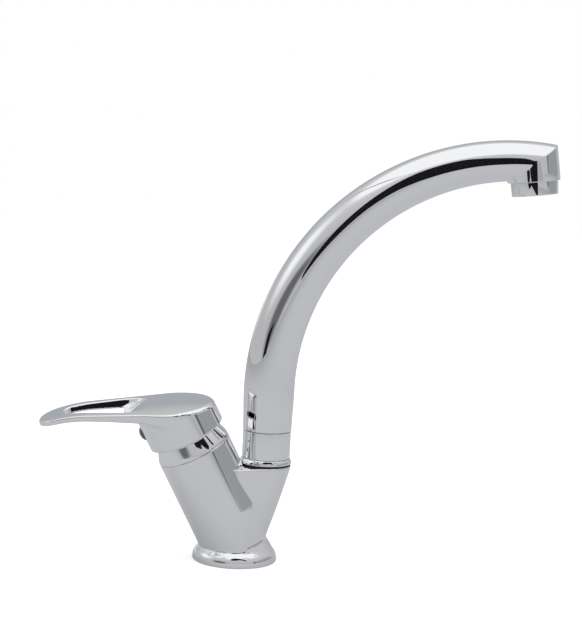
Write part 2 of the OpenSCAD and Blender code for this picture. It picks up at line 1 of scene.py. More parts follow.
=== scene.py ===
"""Gooseneck basin mixer: its finishes, its visible pieces and the studio it stands in.

Sizes are in millimetres in the classes below and become metres when a mesh is made. The
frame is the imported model's: +Z up, +X from the lever towards the spout, origin at the
centre of the base on the deck.
"""

import json
import logging
import math
from dataclasses import dataclass
from enum import Enum
from typing import Callable, Iterable, Sequence

import bpy
import numpy as np
from mathutils import Matrix, Vector

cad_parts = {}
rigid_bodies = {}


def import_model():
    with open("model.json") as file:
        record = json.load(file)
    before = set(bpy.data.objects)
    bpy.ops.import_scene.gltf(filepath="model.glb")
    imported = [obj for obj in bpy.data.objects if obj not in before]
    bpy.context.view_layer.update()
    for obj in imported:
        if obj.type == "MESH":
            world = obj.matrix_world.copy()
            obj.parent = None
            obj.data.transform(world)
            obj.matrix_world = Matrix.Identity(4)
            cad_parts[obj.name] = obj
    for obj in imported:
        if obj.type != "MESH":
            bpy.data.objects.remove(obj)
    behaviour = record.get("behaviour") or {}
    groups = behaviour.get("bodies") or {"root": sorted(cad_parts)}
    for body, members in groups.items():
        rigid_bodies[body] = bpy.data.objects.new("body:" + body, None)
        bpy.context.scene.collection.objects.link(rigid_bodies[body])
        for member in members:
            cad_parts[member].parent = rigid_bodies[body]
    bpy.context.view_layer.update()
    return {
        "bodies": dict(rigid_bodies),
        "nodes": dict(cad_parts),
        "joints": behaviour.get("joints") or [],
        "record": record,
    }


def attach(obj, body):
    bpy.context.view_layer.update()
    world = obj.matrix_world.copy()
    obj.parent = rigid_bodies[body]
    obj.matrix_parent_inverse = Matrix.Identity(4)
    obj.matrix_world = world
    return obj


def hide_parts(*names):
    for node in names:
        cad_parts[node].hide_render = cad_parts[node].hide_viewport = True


log = logging.getLogger("mixer")

Array = np.ndarray
Field = Callable[[Array, Array, Array], Array]
Pair = tuple[float, float]
Triple = tuple[float, float, float]
Colour = tuple[float, float, float, float]
Socket = bpy.types.NodeSocket
Object = bpy.types.Object

WHITE = (1.0, 1.0, 1.0, 1.0)
MM = 0.001  # a millimetre in metres
SMALL = 1e-6  # least length that anything is divided by
TINY = 1e-9  # least square under a root, and least size of a pull
FAR = 1e3  # a distance beyond every piece, in millimetres


# Frames


def turn(axis: str, degrees: float) -> Array:
    """Rotation matrix, 4 by 4, about one of the axes "X", "Y" or "Z"."""
    return np.array(Matrix.Rotation(math.radians(degrees), 4, axis))


def shift(x: float, y: float, z: float) -> Array:
    """Translation matrix, 4 by 4.

    Args:
        x, y, z: the shift, in millimetres.

    Returns:
        The matrix.
    """
    m = np.eye(4)
    m[:3, 3] = (x, y, z)
    return m


@dataclass(frozen=True)
class Layout:
    """Where the barrel, the lever and the spout stand, shared by all sub-assemblies."""

    barrel_x: float = 8.0
    barrel_tilt: float = 28.0
    barrel_len: float = 77.5
    pivot_s: float = 66.0
    lever_turn: float = -17.0
    spout_x: float = 17.0
    spout_turn: float = -18.0
    branch_z: float = 58.5

    def barrel(self) -> Array:
        """Frame of the barrel: origin on the deck, +Z up the barrel's axis."""
        return shift(self.barrel_x, 0, 0) @ turn("Y", -self.barrel_tilt)

    def lever(self) -> Array:
        """Frame of the lever: the barrel's frame, turned with the lever."""
        return self.barrel() @ turn("Z", self.lever_turn)

    def spout(self) -> Array:
        """Frame of the spout: +X towards the outlet, +Z up the swivel's axis."""
        return shift(self.spout_x, 0, 0) @ turn("Z", self.spout_turn)


LAYOUT = Layout()


# Finishes


class NodeGraph:
    """A small helper for a material's or a world's nodes."""

    def __init__(self, tree: bpy.types.NodeTree) -> None:
        """Start from an empty tree."""
        self.tree = tree
        tree.nodes.clear()

    def add(self, kind: str, **settings: object) -> bpy.types.Node:
        """Add a node.

        Args:
            kind: the node's type name in Blender.
            settings: attributes of the node, or values of its inputs by name.

        Returns:
            The new node.
        """
        node = self.tree.nodes.new(kind)
        for key, value in settings.items():
            if hasattr(node, key):
                setattr(node, key, value)
            else:
                node.inputs[key.replace("_", " ")].default_value = value
        return node

    def link(self, start: Socket, end: Socket) -> None:
        """Link an output socket to an input socket."""
        self.tree.links.new(start, end)

    def feed(self, end: Socket, value: object) -> None:
        """Link a socket to an input, or set the input to a constant.

        Args:
            end: the input.
            value: the socket or the constant.
        """
        if isinstance(value, Socket):
            self.link(value, end)
        else:
            end.default_value = value

    def math(self, operation: str, a: object, b: object = 0.0, clamp: bool = False) -> Socket:
        """Add a Math node.

        Args:
            operation: Blender's name for the operation.
            a: the first value, a number or a socket.
            b: the second value, a number or a socket.
            clamp: whether the result is kept from 0 to 1.

        Returns:
            The node's output socket.
        """
        node = self.add("ShaderNodeMath", operation=operation, use_clamp=clamp)
        for socket, value in zip(node.inputs, (a, b)):
            self.feed(socket, value)
        return node.outputs[0]

    def dot(self, vector: Socket, axis: Array) -> Socket:
        """Add a dot product with a constant vector.

        Args:
            vector: the socket of the first vector.
            axis: the constant vector.

        Returns:
            The product's socket.
        """
        node = self.add("ShaderNodeVectorMath", operation="DOT_PRODUCT")
        self.link(vector, node.inputs[0])
        node.inputs[1].default_value = tuple(axis)
        return node.outputs["Value"]

    def mix(self, share: Socket, a: object, b: object) -> Socket:
        """Mix two colours.

        Args:
            share: how far the mix goes from the first colour to the second.
            a: the first colour, four numbers or a socket.
            b: the second colour, four numbers or a socket.

        Returns:
            The mix's socket.
        """
        node = self.add("ShaderNodeMix", data_type="RGBA", blend_type="MIX")
        for name, value in (("Factor", share), ("A", a), ("B", b)):
            self.feed(node.inputs[name], value)
        return node.outputs["Result"]

    def shaders(self, kind: str, *starts: Socket) -> Socket:
        """Add a node that joins shaders.

        Args:
            kind: the node's type name in Blender.
            starts: what its inputs are linked to, in order.

        Returns:
            The joined shader's socket.
        """
        node = self.add(kind)
        for start, end in zip(starts, node.inputs):
            self.link(start, end)
        return node.outputs[0]

    def by_ray(self, other: Socket, glossy: Socket, seen: Socket) -> Socket:
        """Choose a shader by the kind of ray.

        Args:
            other: the shader for all rays but the next two kinds.
            glossy: the shader for glossy rays.
            seen: the shader for the camera's rays.

        Returns:
            The chosen shader's socket.
        """
        ray = self.add("ShaderNodeLightPath").outputs
        metal = self.shaders("ShaderNodeMixShader", ray["Is Glossy Ray"], other, glossy)
        return self.shaders("ShaderNodeMixShader", ray["Is Camera Ray"], metal, seen)

    def ramp(self, value: Socket, stops: Sequence[Pair]) -> Socket:
        """Map a value through grey stops.

        Args:
            value: the socket that drives the ramp.
            stops: pairs of position and grey level, in order.

        Returns:
            The ramp's colour output.
        """
        node = self.tree.nodes.new("ShaderNodeValToRGB")
        node.color_ramp.interpolation = "EASE"
        elements = node.color_ramp.elements
        while len(elements) > len(stops):
            elements.remove(elements[-1])
        for i, (position, grey) in enumerate(stops):
            element = elements[i] if i < len(elements) else elements.new(position)
            element.position, element.color = position, (grey, grey, grey, 1.0)
        self.link(value, node.inputs["Fac"])
        return node.outputs["Color"]


MARKS_DETAIL = 4.0
MARKS_ROUGH = 0.6
MARKS_MEAN = 0.25
CLOUD_SCALE = 0.12
CLOUD_DETAIL = 2.0
COAT_ROUGH = 0.05


@dataclass(frozen=True)
class Finish:
    """A surface finish made from fine marks and broad clouds, with a Principled shader.

    Attributes:
        name: the material's name.
        colour: base colour.
        metallic: 1 for bare or plated metal.
        rough: mean roughness.
        rough_swing: how far marks and clouds move the roughness.
        grain: scale of the marks, in cells per metre; the clouds are larger.
        bump: height of the ripple that the marks make, in metres.
        coat: weight of a clear coat.
        specular: strength of a dielectric's reflection.
        streaks: how far the marks are stretched, along X, Y and Z.
        tint_swing: how far the clouds darken the colour.
    """

    name: str
    colour: Triple
    metallic: float = 0.0
    rough: float = 0.4
    rough_swing: float = 0.1
    grain: float = 400.0
    bump: float = 0.0
    coat: float = 0.0
    specular: float = 0.5
    streaks: Triple = (1.0, 1.0, 1.0)
    tint_swing: float = 0.04

    def material(self) -> bpy.types.Material:
        """Build the material, or return it if it was built before.

        Returns:
            The material.
        """
        known = bpy.data.materials.get(self.name)
        if known:
            return known
        material = bpy.data.materials.new(self.name)
        material.use_nodes = True
        graph = NodeGraph(material.node_tree)
        shader = graph.add(
            "ShaderNodeBsdfPrincipled",
            Metallic=self.metallic,
            Coat_Weight=self.coat,
            Coat_Roughness=COAT_ROUGH,
            Specular_IOR_Level=self.specular,
        )
        place = graph.add("ShaderNodeTexCoord")
        mapping = graph.add("ShaderNodeMapping", Scale=self.streaks)
        marks = graph.add("ShaderNodeTexNoise", Scale=self.grain, Detail=MARKS_DETAIL,
                          Roughness=MARKS_ROUGH)
        cloud = graph.add("ShaderNodeTexNoise", Scale=self.grain * CLOUD_SCALE,
                          Detail=CLOUD_DETAIL)
        graph.link(place.outputs["Object"], mapping.inputs["Vector"])
        graph.link(mapping.outputs["Vector"], marks.inputs["Vector"])
        graph.link(mapping.outputs["Vector"], cloud.inputs["Vector"])
        both = graph.math("MULTIPLY", marks.outputs["Fac"], cloud.outputs["Fac"])
        swing = graph.math("SUBTRACT", both, MARKS_MEAN)
        swing = graph.math("MULTIPLY", swing, self.rough_swing / MARKS_MEAN)
        graph.link(graph.math("ADD", swing, self.rough, clamp=True), shader.inputs["Roughness"])
        shade = tuple(c * (1.0 - self.tint_swing) for c in self.colour)
        tint = graph.mix(cloud.outputs["Fac"], (*self.colour, 1.0), (*shade, 1.0))
        graph.link(tint, shader.inputs["Base Color"])
        if self.bump:
            ripple = graph.add("ShaderNodeBump", Strength=1.0, Distance=self.bump)
            graph.link(marks.outputs["Fac"], ripple.inputs["Height"])
            graph.link(ripple.outputs["Normal"], shader.inputs["Normal"])
        output = graph.add("ShaderNodeOutputMaterial")
        graph.link(shader.outputs["BSDF"], output.inputs["Surface"])
        return material


class Finishes(Enum):
    """The finishes of the mixer's pieces."""

    CHROME = Finish("bright_chrome", (0.90, 0.905, 0.92), 1.0, 0.035, 0.02, 260.0, tint_swing=0.02)
    BRASS = Finish("turned_brass", (0.80, 0.62, 0.30), 1.0, 0.26, 0.12, 500.0, 4e-6,
                   streaks=(1, 1, 14))
    CERAMIC = Finish("lapped_ceramic", (0.90, 0.89, 0.85), 0.0, 0.18, 0.05, 900.0, 1e-6, coat=0.4)
    CARTRIDGE = Finish("cartridge_plastic", (0.74, 0.75, 0.77), 0.0, 0.42, 0.1, 700.0, 4e-6)
    AERATOR = Finish("aerator_plastic", (0.20, 0.205, 0.215), 0.0, 0.38, 0.1, 700.0, 4e-6)
    RUBBER = Finish("moulded_rubber", (0.018, 0.018, 0.02), 0.0, 0.62, 0.12, 600.0, 6e-6,
                    specular=0.35)
    STEEL = Finish("stainless_steel", (0.60, 0.60, 0.61), 1.0, 0.24, 0.1, 600.0, 3e-6,
                   streaks=(1, 1, 18))
    PLUG = Finish("index_plug_plastic", (0.045, 0.047, 0.052), 0.0, 0.16, 0.05, 500.0, 1e-6,
                  coat=0.6)


# Mesh making


@dataclass(frozen=True)
class Piece:
    """A visible piece, which rides on a body and stands for a CAD node.

    Attributes:
        name: the piece's name.
        body: the body that it rides on.
        slot: the record's material slot; not used.
        node: the CAD node that it replaces.
        finish: its finish.
    """

    name: str
    body: str
    slot: str
    node: str
    finish: Finishes = Finishes.CHROME

    def make(self, points: Array, faces: Iterable[Sequence[int]], normals: Array | None = None,
             sharp_above: float | None = None) -> Object:
        """Make the piece's smooth-shaded mesh and dress it.

        Args:
            points: vertices in millimetres, in the row frame.
            faces: vertex indices of each face.
            normals: a normal for each vertex, where they are known.
            sharp_above: the angle in degrees above which an edge stays sharp.

        Returns:
            The linked object.
        """
        mesh = bpy.data.meshes.new(self.node + "_form")
        mesh.from_pydata((points * MM).tolist(), [], [list(map(int, f)) for f in faces])
        mesh.validate()
        mesh.polygons.foreach_set("use_smooth", np.ones(len(mesh.polygons), bool))
        if normals is not None:
            mesh.normals_split_custom_set_from_vertices(normals.tolist())
        elif sharp_above is not None:
            mesh.set_sharp_from_angle(angle=math.radians(sharp_above))
        mesh.update()
        mesh.materials.append(self.finish.value.material())
        piece = bpy.data.objects.new(self.name, mesh)
        bpy.context.scene.collection.objects.link(piece)
        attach(piece, self.body)
        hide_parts(self.node)
        log.info("%s: %d faces, rides on %s", self.name, len(mesh.polygons), self.body)
        return piece

    def revolve(self, profile: Sequence[Pair], frame: Array, sides: int = 160,
                sharp_above: float = 40) -> Object:
        """Turn the piece on a lathe and dress it.

        Args:
            profile: points of radius and height, in order round the section.
            frame: the frame of the axis.
            sides: steps round the axis.
            sharp_above: the angle in degrees above which an edge stays sharp.

        Returns:
            The linked object.
        """
        points, faces = lathe(profile, frame, sides)
        return self.make(points, faces, sharp_above=sharp_above)


def move(points: Array, frame: Array) -> Array:
    """Points in a frame, given in the row frame."""
    return points @ frame[:3, :3].T + frame[:3, 3]


def corner(before: Pair, at: Pair, after: Pair, radius: float, steps: int = 5) -> list[Pair]:
    """Round one corner of a profile.

    Args:
        before: the profile's point before the corner.
        at: the corner.
        after: the point after it.
        radius: distance from the corner at which the rounding starts and ends.
        steps: pieces of the rounding.

    Returns:
        Points along the rounded corner.
    """
    a, b, c = (np.array(p, float) for p in (before, at, after))
    start = b + (a - b) / np.linalg.norm(a - b) * radius
    end = b + (c - b) / np.linalg.norm(c - b) * radius
    return [tuple((1 - t) ** 2 * start + 2 * t * (1 - t) * b + t * t * end)
            for t in np.linspace(0, 1, steps + 1)]


def rounded(profile: Sequence[Triple]) -> list[Pair]:
    """Round the corners of a closed profile.

    Args:
        profile: points of radius and height, each with its rounding, 0 for a sharp corner.

    Returns:
        The points of the rounded profile.
    """
    out: list[Pair] = []
    count = len(profile)
    for i, (r, z, rounding) in enumerate(profile):
        before, after = profile[i - 1], profile[(i + 1) % count]
        if rounding > 0:
            out += corner(before[:2], (r, z), after[:2], rounding)
        else:
            out.append((r, z))
    return out


def lathe(profile: Sequence[Pair], frame: Array, sides: int) -> tuple[Array, list[list[int]]]:
    """Revolve a closed profile about its frame's +Z axis.

    Args:
        profile: points of radius and height, in order round the section.
        frame: the frame of the axis.
        sides: steps round the axis.

    Returns:
        The vertices in the row frame, and the faces.
    """
    angles = np.linspace(0, 2 * math.pi, sides, endpoint=False)
    section = np.array(profile, float)
    points = np.array([[r * math.cos(a), r * math.sin(a), z] for a in angles for r, z in section])
    count = len(section)
    faces = []
    for i in range(sides):
        for j in range(count):
            a, b = i * count + j, i * count + (j + 1) % count
            c, d = ((i + 1) % sides) * count + (j + 1) % count, ((i + 1) % sides) * count + j
            faces.append([a, d, c, b])
    area = sum(section[i - 1][0] * section[i][1] - section[i][0] * section[i - 1][1]
               for i in range(count))
    if area < 0:
        faces = [f[::-1] for f in faces]
    return move(points, frame), faces


# Solid forms as distance fields, for the two castings

STEEPEST = 0.999  # sine of the steepest flank of a tapered slot
PULLS = 6  # rounds in which points are pulled onto the surface
PULL_SHARE = 0.6  # share of a cell that one pull may move a point
PULL_REACH = 0.02  # reach of the gradient in those rounds
NORMAL_REACH = 0.04  # reach of the gradient that gives the normals
FLAT_SLOPE = 0.05  # least square of the slope that a pull is divided by


def smooth_union(a: Array, b: Array, k: Array | float) -> Array:
    """Union of two distance fields with a fillet of about the size k."""
    h = np.maximum(k - np.abs(a - b), 0.0) / np.maximum(k, SMALL)
    return np.minimum(a, b) - h * h * k / 4


def smooth_cut(a: Array, b: Array, k: Array | float) -> Array:
    """Intersection of two distance fields with a rounded edge of about the size k."""
    return -smooth_union(-a, -b, k)


def tapered_slot(x: Array, y: Array, x0: Array | float, r0: Array | float, x1: Array | float,
                 r1: Array | float) -> Array:
    """Distance in plan to the hull of two circles on the X axis.

    Args:
        x, y: the points.
        x0, r0: centre and radius of the circle with the lower X.
        x1, r1: centre and radius of the other.

    Returns:
        The distance, negative inside.
    """
    length = np.maximum(x1 - x0, SMALL)
    slope = np.clip((r0 - r1) / length, -STEEPEST, STEEPEST)
    flank = np.sqrt(1 - slope * slope)
    px, py = x - x0, np.abs(y)
    along = px * flank - py * slope
    side, end = px * slope + py * flank - r0, np.hypot(px - length, py) - r1
    return np.where(along < 0, np.hypot(px, py) - r0, np.where(along > length * flank, end, side))


def nets(solid: Field, low: Triple, high: Triple, step: float) -> tuple[Array, Array, Array]:
    """Mesh a distance field's zero surface with surface nets, then pull it onto the surface.

    Args:
        solid: the field, in millimetres, negative inside.
        low: lowest corner of the box to search.
        high: highest corner.
        step: size of the cells.

    Returns:
        Vertices, quad faces, and a normal for each vertex.
    """
    step = step * 1.0
    low, high = np.array(low), np.array(high)
    counts = np.ceil((high - low) / step).astype(int) + 1
    axes = [low[i] + step * np.arange(counts[i]) for i in range(3)]
    value = np.empty(counts, np.float32)
    for i, x in enumerate(axes[0]):
        y, z = np.meshgrid(axes[1], axes[2], indexing="ij")
        value[i] = solid(np.full_like(y, x), y, z)
    inside = value < 0
    # a cell whose eight corners lie on both sides of the surface holds a vertex
    cells = np.zeros(counts - 1, np.int8)
    for dx in (0, 1):
        for dy in (0, 1):
            for dz in (0, 1):
                cells += inside[dx:counts[0] - 1 + dx, dy:counts[1] - 1 + dy, dz:counts[2] - 1 + dz]
    mixed = (cells > 0) & (cells < 8)
    where = np.argwhere(mixed)
    index = -np.ones(cells.shape, np.int64)
    index[tuple(where.T)] = np.arange(len(where))
    points = low + step * (where + 0.5)
    # each grid edge that crosses the surface gives a face between the four cells round it
    faces = []
    for axis in range(3):
        others = [a for a in range(3) if a != axis]
        first = [slice(None)] * 3
        second = [slice(None)] * 3
        first[axis], second[axis] = slice(0, -1), slice(1, None)
        for a in others:
            first[a] = second[a] = slice(1, -1)
        a_in, b_in = inside[tuple(first)], inside[tuple(second)]
        for crossing, flip in ((a_in & ~b_in, False), (~a_in & b_in, True)):
            base = np.argwhere(crossing)
            for a in others:
                base[:, a] += 1
            around = []
            for du, dv in ((0, 0), (1, 0), (1, 1), (0, 1)):
                cell = base.copy()
                cell[:, others[0]] -= du
                cell[:, others[1]] -= dv
                around.append(index[tuple(cell.T)])
            quad = np.stack(around, axis=1)
            if flip ^ (axis == 1):
                quad = quad[:, ::-1]
            faces.append(quad)
    points, normals = project(solid, points, step)
    return points, np.vstack(faces), normals


def slope_of(solid: Field, points: Array, reach: float) -> Array:
    """Gradient of a field at some points, by central differences.

    Args:
        solid: the field.
        points: the points.
        reach: how far from a point the field is read.

    Returns:
        The gradients, one for each point.
    """
    x, y, z = points.T
    return np.stack([
        solid(x + reach, y, z) - solid(x - reach, y, z),
        solid(x, y + reach, z) - solid(x, y - reach, z),
        solid(x, y, z + reach) - solid(x, y, z - reach)], axis=1) / (2 * reach)


def project(solid: Field, points: Array, step: float) -> tuple[Array, Array]:
    """Pull points onto a field's zero surface.

    Args:
        solid: the field.
        points: the points, near the surface.
        step: size of the cells, of which one pull moves a point a share at most.

    Returns:
        The moved points, and the unit normals there.
    """
    for _ in range(PULLS):
        grad = slope_of(solid, points, PULL_REACH)
        size = np.maximum((grad * grad).sum(1), FLAT_SLOPE)
        pull = solid(*points.T)[:, None] * grad / size[:, None]
        length = np.maximum(np.linalg.norm(pull, axis=1, keepdims=True), TINY)
        points = points - pull * np.minimum(1.0, step * PULL_SHARE / length)
    grad = slope_of(solid, points, NORMAL_REACH)
    return points, grad / np.maximum(np.linalg.norm(grad, axis=1, keepdims=True), TINY)


# The base


@dataclass
class BaseCasting:
    """The one-piece brass casting: flange, inclined barrel and branch for the spout."""

    flange_r: float = 25.5
    flange_top: float = 9.3
    flange_in: float = 20.9
    flange_slope: float = 44.0
    crest: float = 1.0
    flare: float = 0.1
    flare_h: float = 3.0
    shoulder_round: float = 2.0
    sole_round: float = 1.2
    neck_z: float = 8.0
    neck_r: float = 21.0
    neck_shift: float = 2.4
    barrel_r: float = 22.5
    barrel_low: float = 35.0
    barrel_round: float = 0.6
    loft_rounds: int = 4
    loft_pace: float = 32.0
    loft_blend: float = 2.0
    seat_depth: float = 27.5
    seat_r: float = 17.9
    nut_thread_r: float = 19.2
    nut_thread_s: float = 69.0
    branch_r: float = 15.8
    branch_past: float = 1.1
    branch_steep: float = 0.97
    branch_round: float = 1.4
    branch_root: float = 3.0
    root_round: float = 0.5
    web_r: float = 18.5
    web_x: float = -6.0
    foot_r: float = 13.6
    foot_x: float = 2.7
    socket_r: float = 10.0
    socket_depth: float = 13.0
    facing_gap: float = 0.3
    facing_h: float = 4.25
    inlet_r: float = 4.5
    inlet_back: float = 6.0
    inlet_half: float = 7.5
    inlet_depth: float = 12.0
    stud_r: float = 3.4
    stud_x: float = 11.0
    stud_depth: float = 14.0
    groove_in: float = 20.0
    groove_out: float = 23.0
    groove_depth: float = 2.0
    crease: float = 0.8
    crotch_fillet: float = 5.0
    crotch_z: float = 22.0
    crotch_h: float = 12.0
    back_fillet: float = 1.0
    front_fillet: float = 6.0
    front_x: float = -2.0
    front_len: float = 22.0
    low: Triple = (-54.0, -27.0, -1.2)
    high: Triple = (36.0, 27.0, 84.0)
    step: float = 0.7

    def flange(self, x: Array, y: Array, z: Array) -> Array:
        """Distance to the flange: a sloping shoulder, rounded into a short wall.

        Args:
            x, y, z: the points.

        Returns:
            The distance, negative inside.
        """
        r = np.hypot(x, y)
        tilt = math.radians(self.flange_slope)
        shoulder = (r - self.flange_in) * math.sin(tilt) + (z - self.flange_top) * math.cos(tilt)
        shoulder = smooth_cut(shoulder, z - self.flange_top - self.crest, self.crest)
        wall = r - self.flange_r - self.flare * np.cos(np.clip(z / self.flare_h, 0, 1) * math.pi)
        return smooth_cut(smooth_cut(shoulder, wall, self.shoulder_round), -z, self.sole_round)

    def barrel(self, x: Array, y: Array, z: Array) -> Array:
        """Distance to the barrel, which is lofted down to its round foot on the flange.

        Args:
            x, y, z: the points.

        Returns:
            The distance, negative inside.
        """
        tilt = math.radians(LAYOUT.barrel_tilt)
        axis = np.array([-math.sin(tilt), math.cos(tilt)])
        top = np.array([LAYOUT.barrel_x, 0.0]) + axis * self.barrel_low
        foot = np.array([-self.neck_shift, self.neck_z])

        def section(t: Array) -> tuple[Array, Array, Array, Array]:
            """Centre and upward slope of the loft's section at a share of its height."""
            return (foot[0] + (top[0] - foot[0]) * t, foot[1] + (top[1] - foot[1]) * t,
                    axis[0] * t, 1 + (axis[1] - 1) * t)

        t = np.clip((z - foot[1]) / (top[1] - foot[1]), 0, 1)
        for _ in range(self.loft_rounds):
            cx, cz, nx, nz = section(t)
            t = np.clip(t + ((x - cx) * nx + (z - cz) * nz) / self.loft_pace, 0, 1)
        cx, cz, nx, nz = section(t)
        ease = t * t * (3 - 2 * t)
        radius = self.neck_r + (self.barrel_r - self.neck_r) * ease
        rise = ((x - cx) * nx + (z - cz) * nz) / np.hypot(nx, nz)
        flat = np.sqrt(np.maximum((x - cx) ** 2 + y * y + (z - cz) ** 2 - rise * rise, TINY))
        loft = np.maximum(flat - radius, np.where(t <= 0, -rise, -FAR))
        px = x - LAYOUT.barrel_x
        along = px * axis[0] + z * axis[1]
        tube = np.sqrt(np.maximum(px * px + y * y + z * z - along * along, TINY)) - self.barrel_r
        loft = smooth_cut(loft, tube, self.loft_blend * (1 - t))
        return smooth_cut(loft, along - LAYOUT.barrel_len, self.barrel_round)

    def branch(self, x: Array, y: Array, z: Array) -> Array:
        """Distance to the branch, which widens upwards to its flat top.

        Args:
            x, y, z: the points.

        Returns:
            The distance, negative inside.
        """
        top = LAYOUT.branch_z
        t = np.clip((z - self.neck_z) / (top - self.neck_z), 0.0, self.branch_past)
        ease = 1 - np.maximum(1 - t, 0) ** 2
        wall = tapered_slot(
            x, y, self.web_x * t, self.foot_r + (self.web_r - self.foot_r) * ease,
            self.foot_x + (LAYOUT.spout_x - self.foot_x) * t,
            self.foot_r + (self.branch_r - self.foot_r) * ease)
        form = smooth_cut(wall * self.branch_steep, z - top, self.branch_round)
        return smooth_cut(form, self.neck_z - self.branch_root - z, self.root_round)

    def bores(self, x: Array, y: Array, z: Array) -> Array:
        """Distance to the cartridge's seat, the spout's socket and what opens underneath.

        Args:
            x, y, z: the points.

        Returns:
            The distance, negative in the holes.
        """
        tilt = math.radians(LAYOUT.barrel_tilt)
        px, rx = x - LAYOUT.barrel_x, x - LAYOUT.spout_x
        s = -px * math.sin(tilt) + z * math.cos(tilt)
        r = np.hypot(px * math.cos(tilt) + z * math.sin(tilt), y)
        ring = np.hypot(x, y)
        holes = [
            (r - self.seat_r, LAYOUT.barrel_len - self.seat_depth - s),
            (r - self.nut_thread_r, self.nut_thread_s - s),
            (np.hypot(rx, y) - self.socket_r, LAYOUT.branch_z - self.socket_depth - z),
            (np.hypot(x + self.inlet_back, np.abs(y) - self.inlet_half) - self.inlet_r,
             z - self.inlet_depth),
            (np.hypot(x - self.stud_x, y) - self.stud_r, z - self.stud_depth),
            (np.maximum(ring - self.groove_out, self.groove_in - ring), z - self.groove_depth),
            (np.maximum(np.hypot(rx, y) - self.branch_r - self.facing_gap, LAYOUT.branch_z - z),
             z - LAYOUT.branch_z - self.facing_h),
        ]
        return np.minimum.reduce([np.maximum(side, end) for side, end in holes])

    def solid(self, x: Array, y: Array, z: Array) -> Array:
        """Distance to the whole casting.

        Args:
            x, y, z: the points.

        Returns:
            The distance, negative inside.
        """
        crotch = np.clip((self.crotch_z - z) / self.crotch_h, 0, 1)
        fillet = self.crease + self.crotch_fillet * crotch * crotch
        body = smooth_union(self.barrel(x, y, z), self.branch(x, y, z), fillet)
        front = np.clip((x - self.front_x) / self.front_len, 0, 1)
        fillet = self.back_fillet + self.front_fillet * front
        body = smooth_union(body, self.flange(x, y, z), fillet)
        return np.maximum(body, -self.bores(x, y, z))

    def build(self) -> Object:
        """Mesh the casting and dress it.

        Returns:
            The casting.
        """
        points, faces, normals = nets(self.solid, self.low, self.high, self.step)
        points[:, 2] = np.maximum(points[:, 2], 0.0)
        return Piece("casting", "base", "chrome_body", "body_casting").make(points, faces, normals)


@dataclass
class DomeRing:
    """The trim ring with a spherical top that covers the cartridge's nut."""

    barrel_r: float = 22.5
    waist_r: float = 18.4
    edge_r: float = 8.0
    edge_turn: float = 21.0
    cone_turn: float = 23.5
    dome_r: float = 29.5
    mouth_r: float = 17.0
    wall: float = 1.6
    seam: float = 0.04
    lip: float = 0.35
    lip_turn: float = 0.06
    inset: float = 0.05
    edge_steps: int = 8
    dome_steps: int = 14
    sides: int = 192
    sharp: float = 35.0

    def profile(self) -> list[Pair]:
        """Section of the ring, in the barrel's frame.

        Returns:
            Points of radius and height, in order round the section.
        """
        pivot, rim = LAYOUT.pivot_s, LAYOUT.barrel_len
        waist_s = pivot + math.sqrt(self.dome_r ** 2 - self.waist_r ** 2)
        inner = self.dome_r - self.wall
        edge = self.barrel_r - self.inset
        turned, last = math.radians(self.edge_turn), math.radians(self.cone_turn)
        shoulder = (edge - self.edge_r * (1 - math.cos(turned)),
                    rim + self.edge_r * math.sin(turned))
        cone_r = (shoulder[0] - self.waist_r) / (math.cos(turned) - math.cos(last))
        outside = [(self.barrel_r - self.lip, rim + self.seam), (edge, rim + self.lip)]
        outside += [(edge - self.edge_r * (1 - math.cos(a)), rim + self.edge_r * math.sin(a))
                    for a in np.linspace(self.lip_turn, turned, self.edge_steps)]
        outside += [(shoulder[0] - cone_r * (math.cos(turned) - math.cos(a)),
                     shoulder[1] + (waist_s - shoulder[1]) * (math.sin(a) - math.sin(turned))
                     / (math.sin(last) - math.sin(turned)))
                    for a in np.linspace(turned, last, self.edge_steps)[1:-1]]
        first, last = math.acos(self.waist_r / self.dome_r), math.acos(self.mouth_r / self.dome_r)
        dome = [(self.dome_r * math.cos(a), pivot + self.dome_r * math.sin(a))
                for a in np.linspace(first, last, self.dome_steps)]
        first, last = math.acos(self.mouth_r / inner), math.acos((self.waist_r - self.wall) / inner)
        back = [(inner * math.cos(a), pivot + inner * math.sin(a))
                for a in np.linspace(first, last, self.edge_steps)]
        return outside + dome + back + [(self.barrel_r - self.wall, rim + self.seam)]

    def build(self) -> Object:
        """Revolve the ring and dress it."""
        piece = Piece("trim_ring", "base", "chrome_ring", "dome_ring")
        return piece.revolve(self.profile(), LAYOUT.barrel(), self.sides, self.sharp)


# The lever


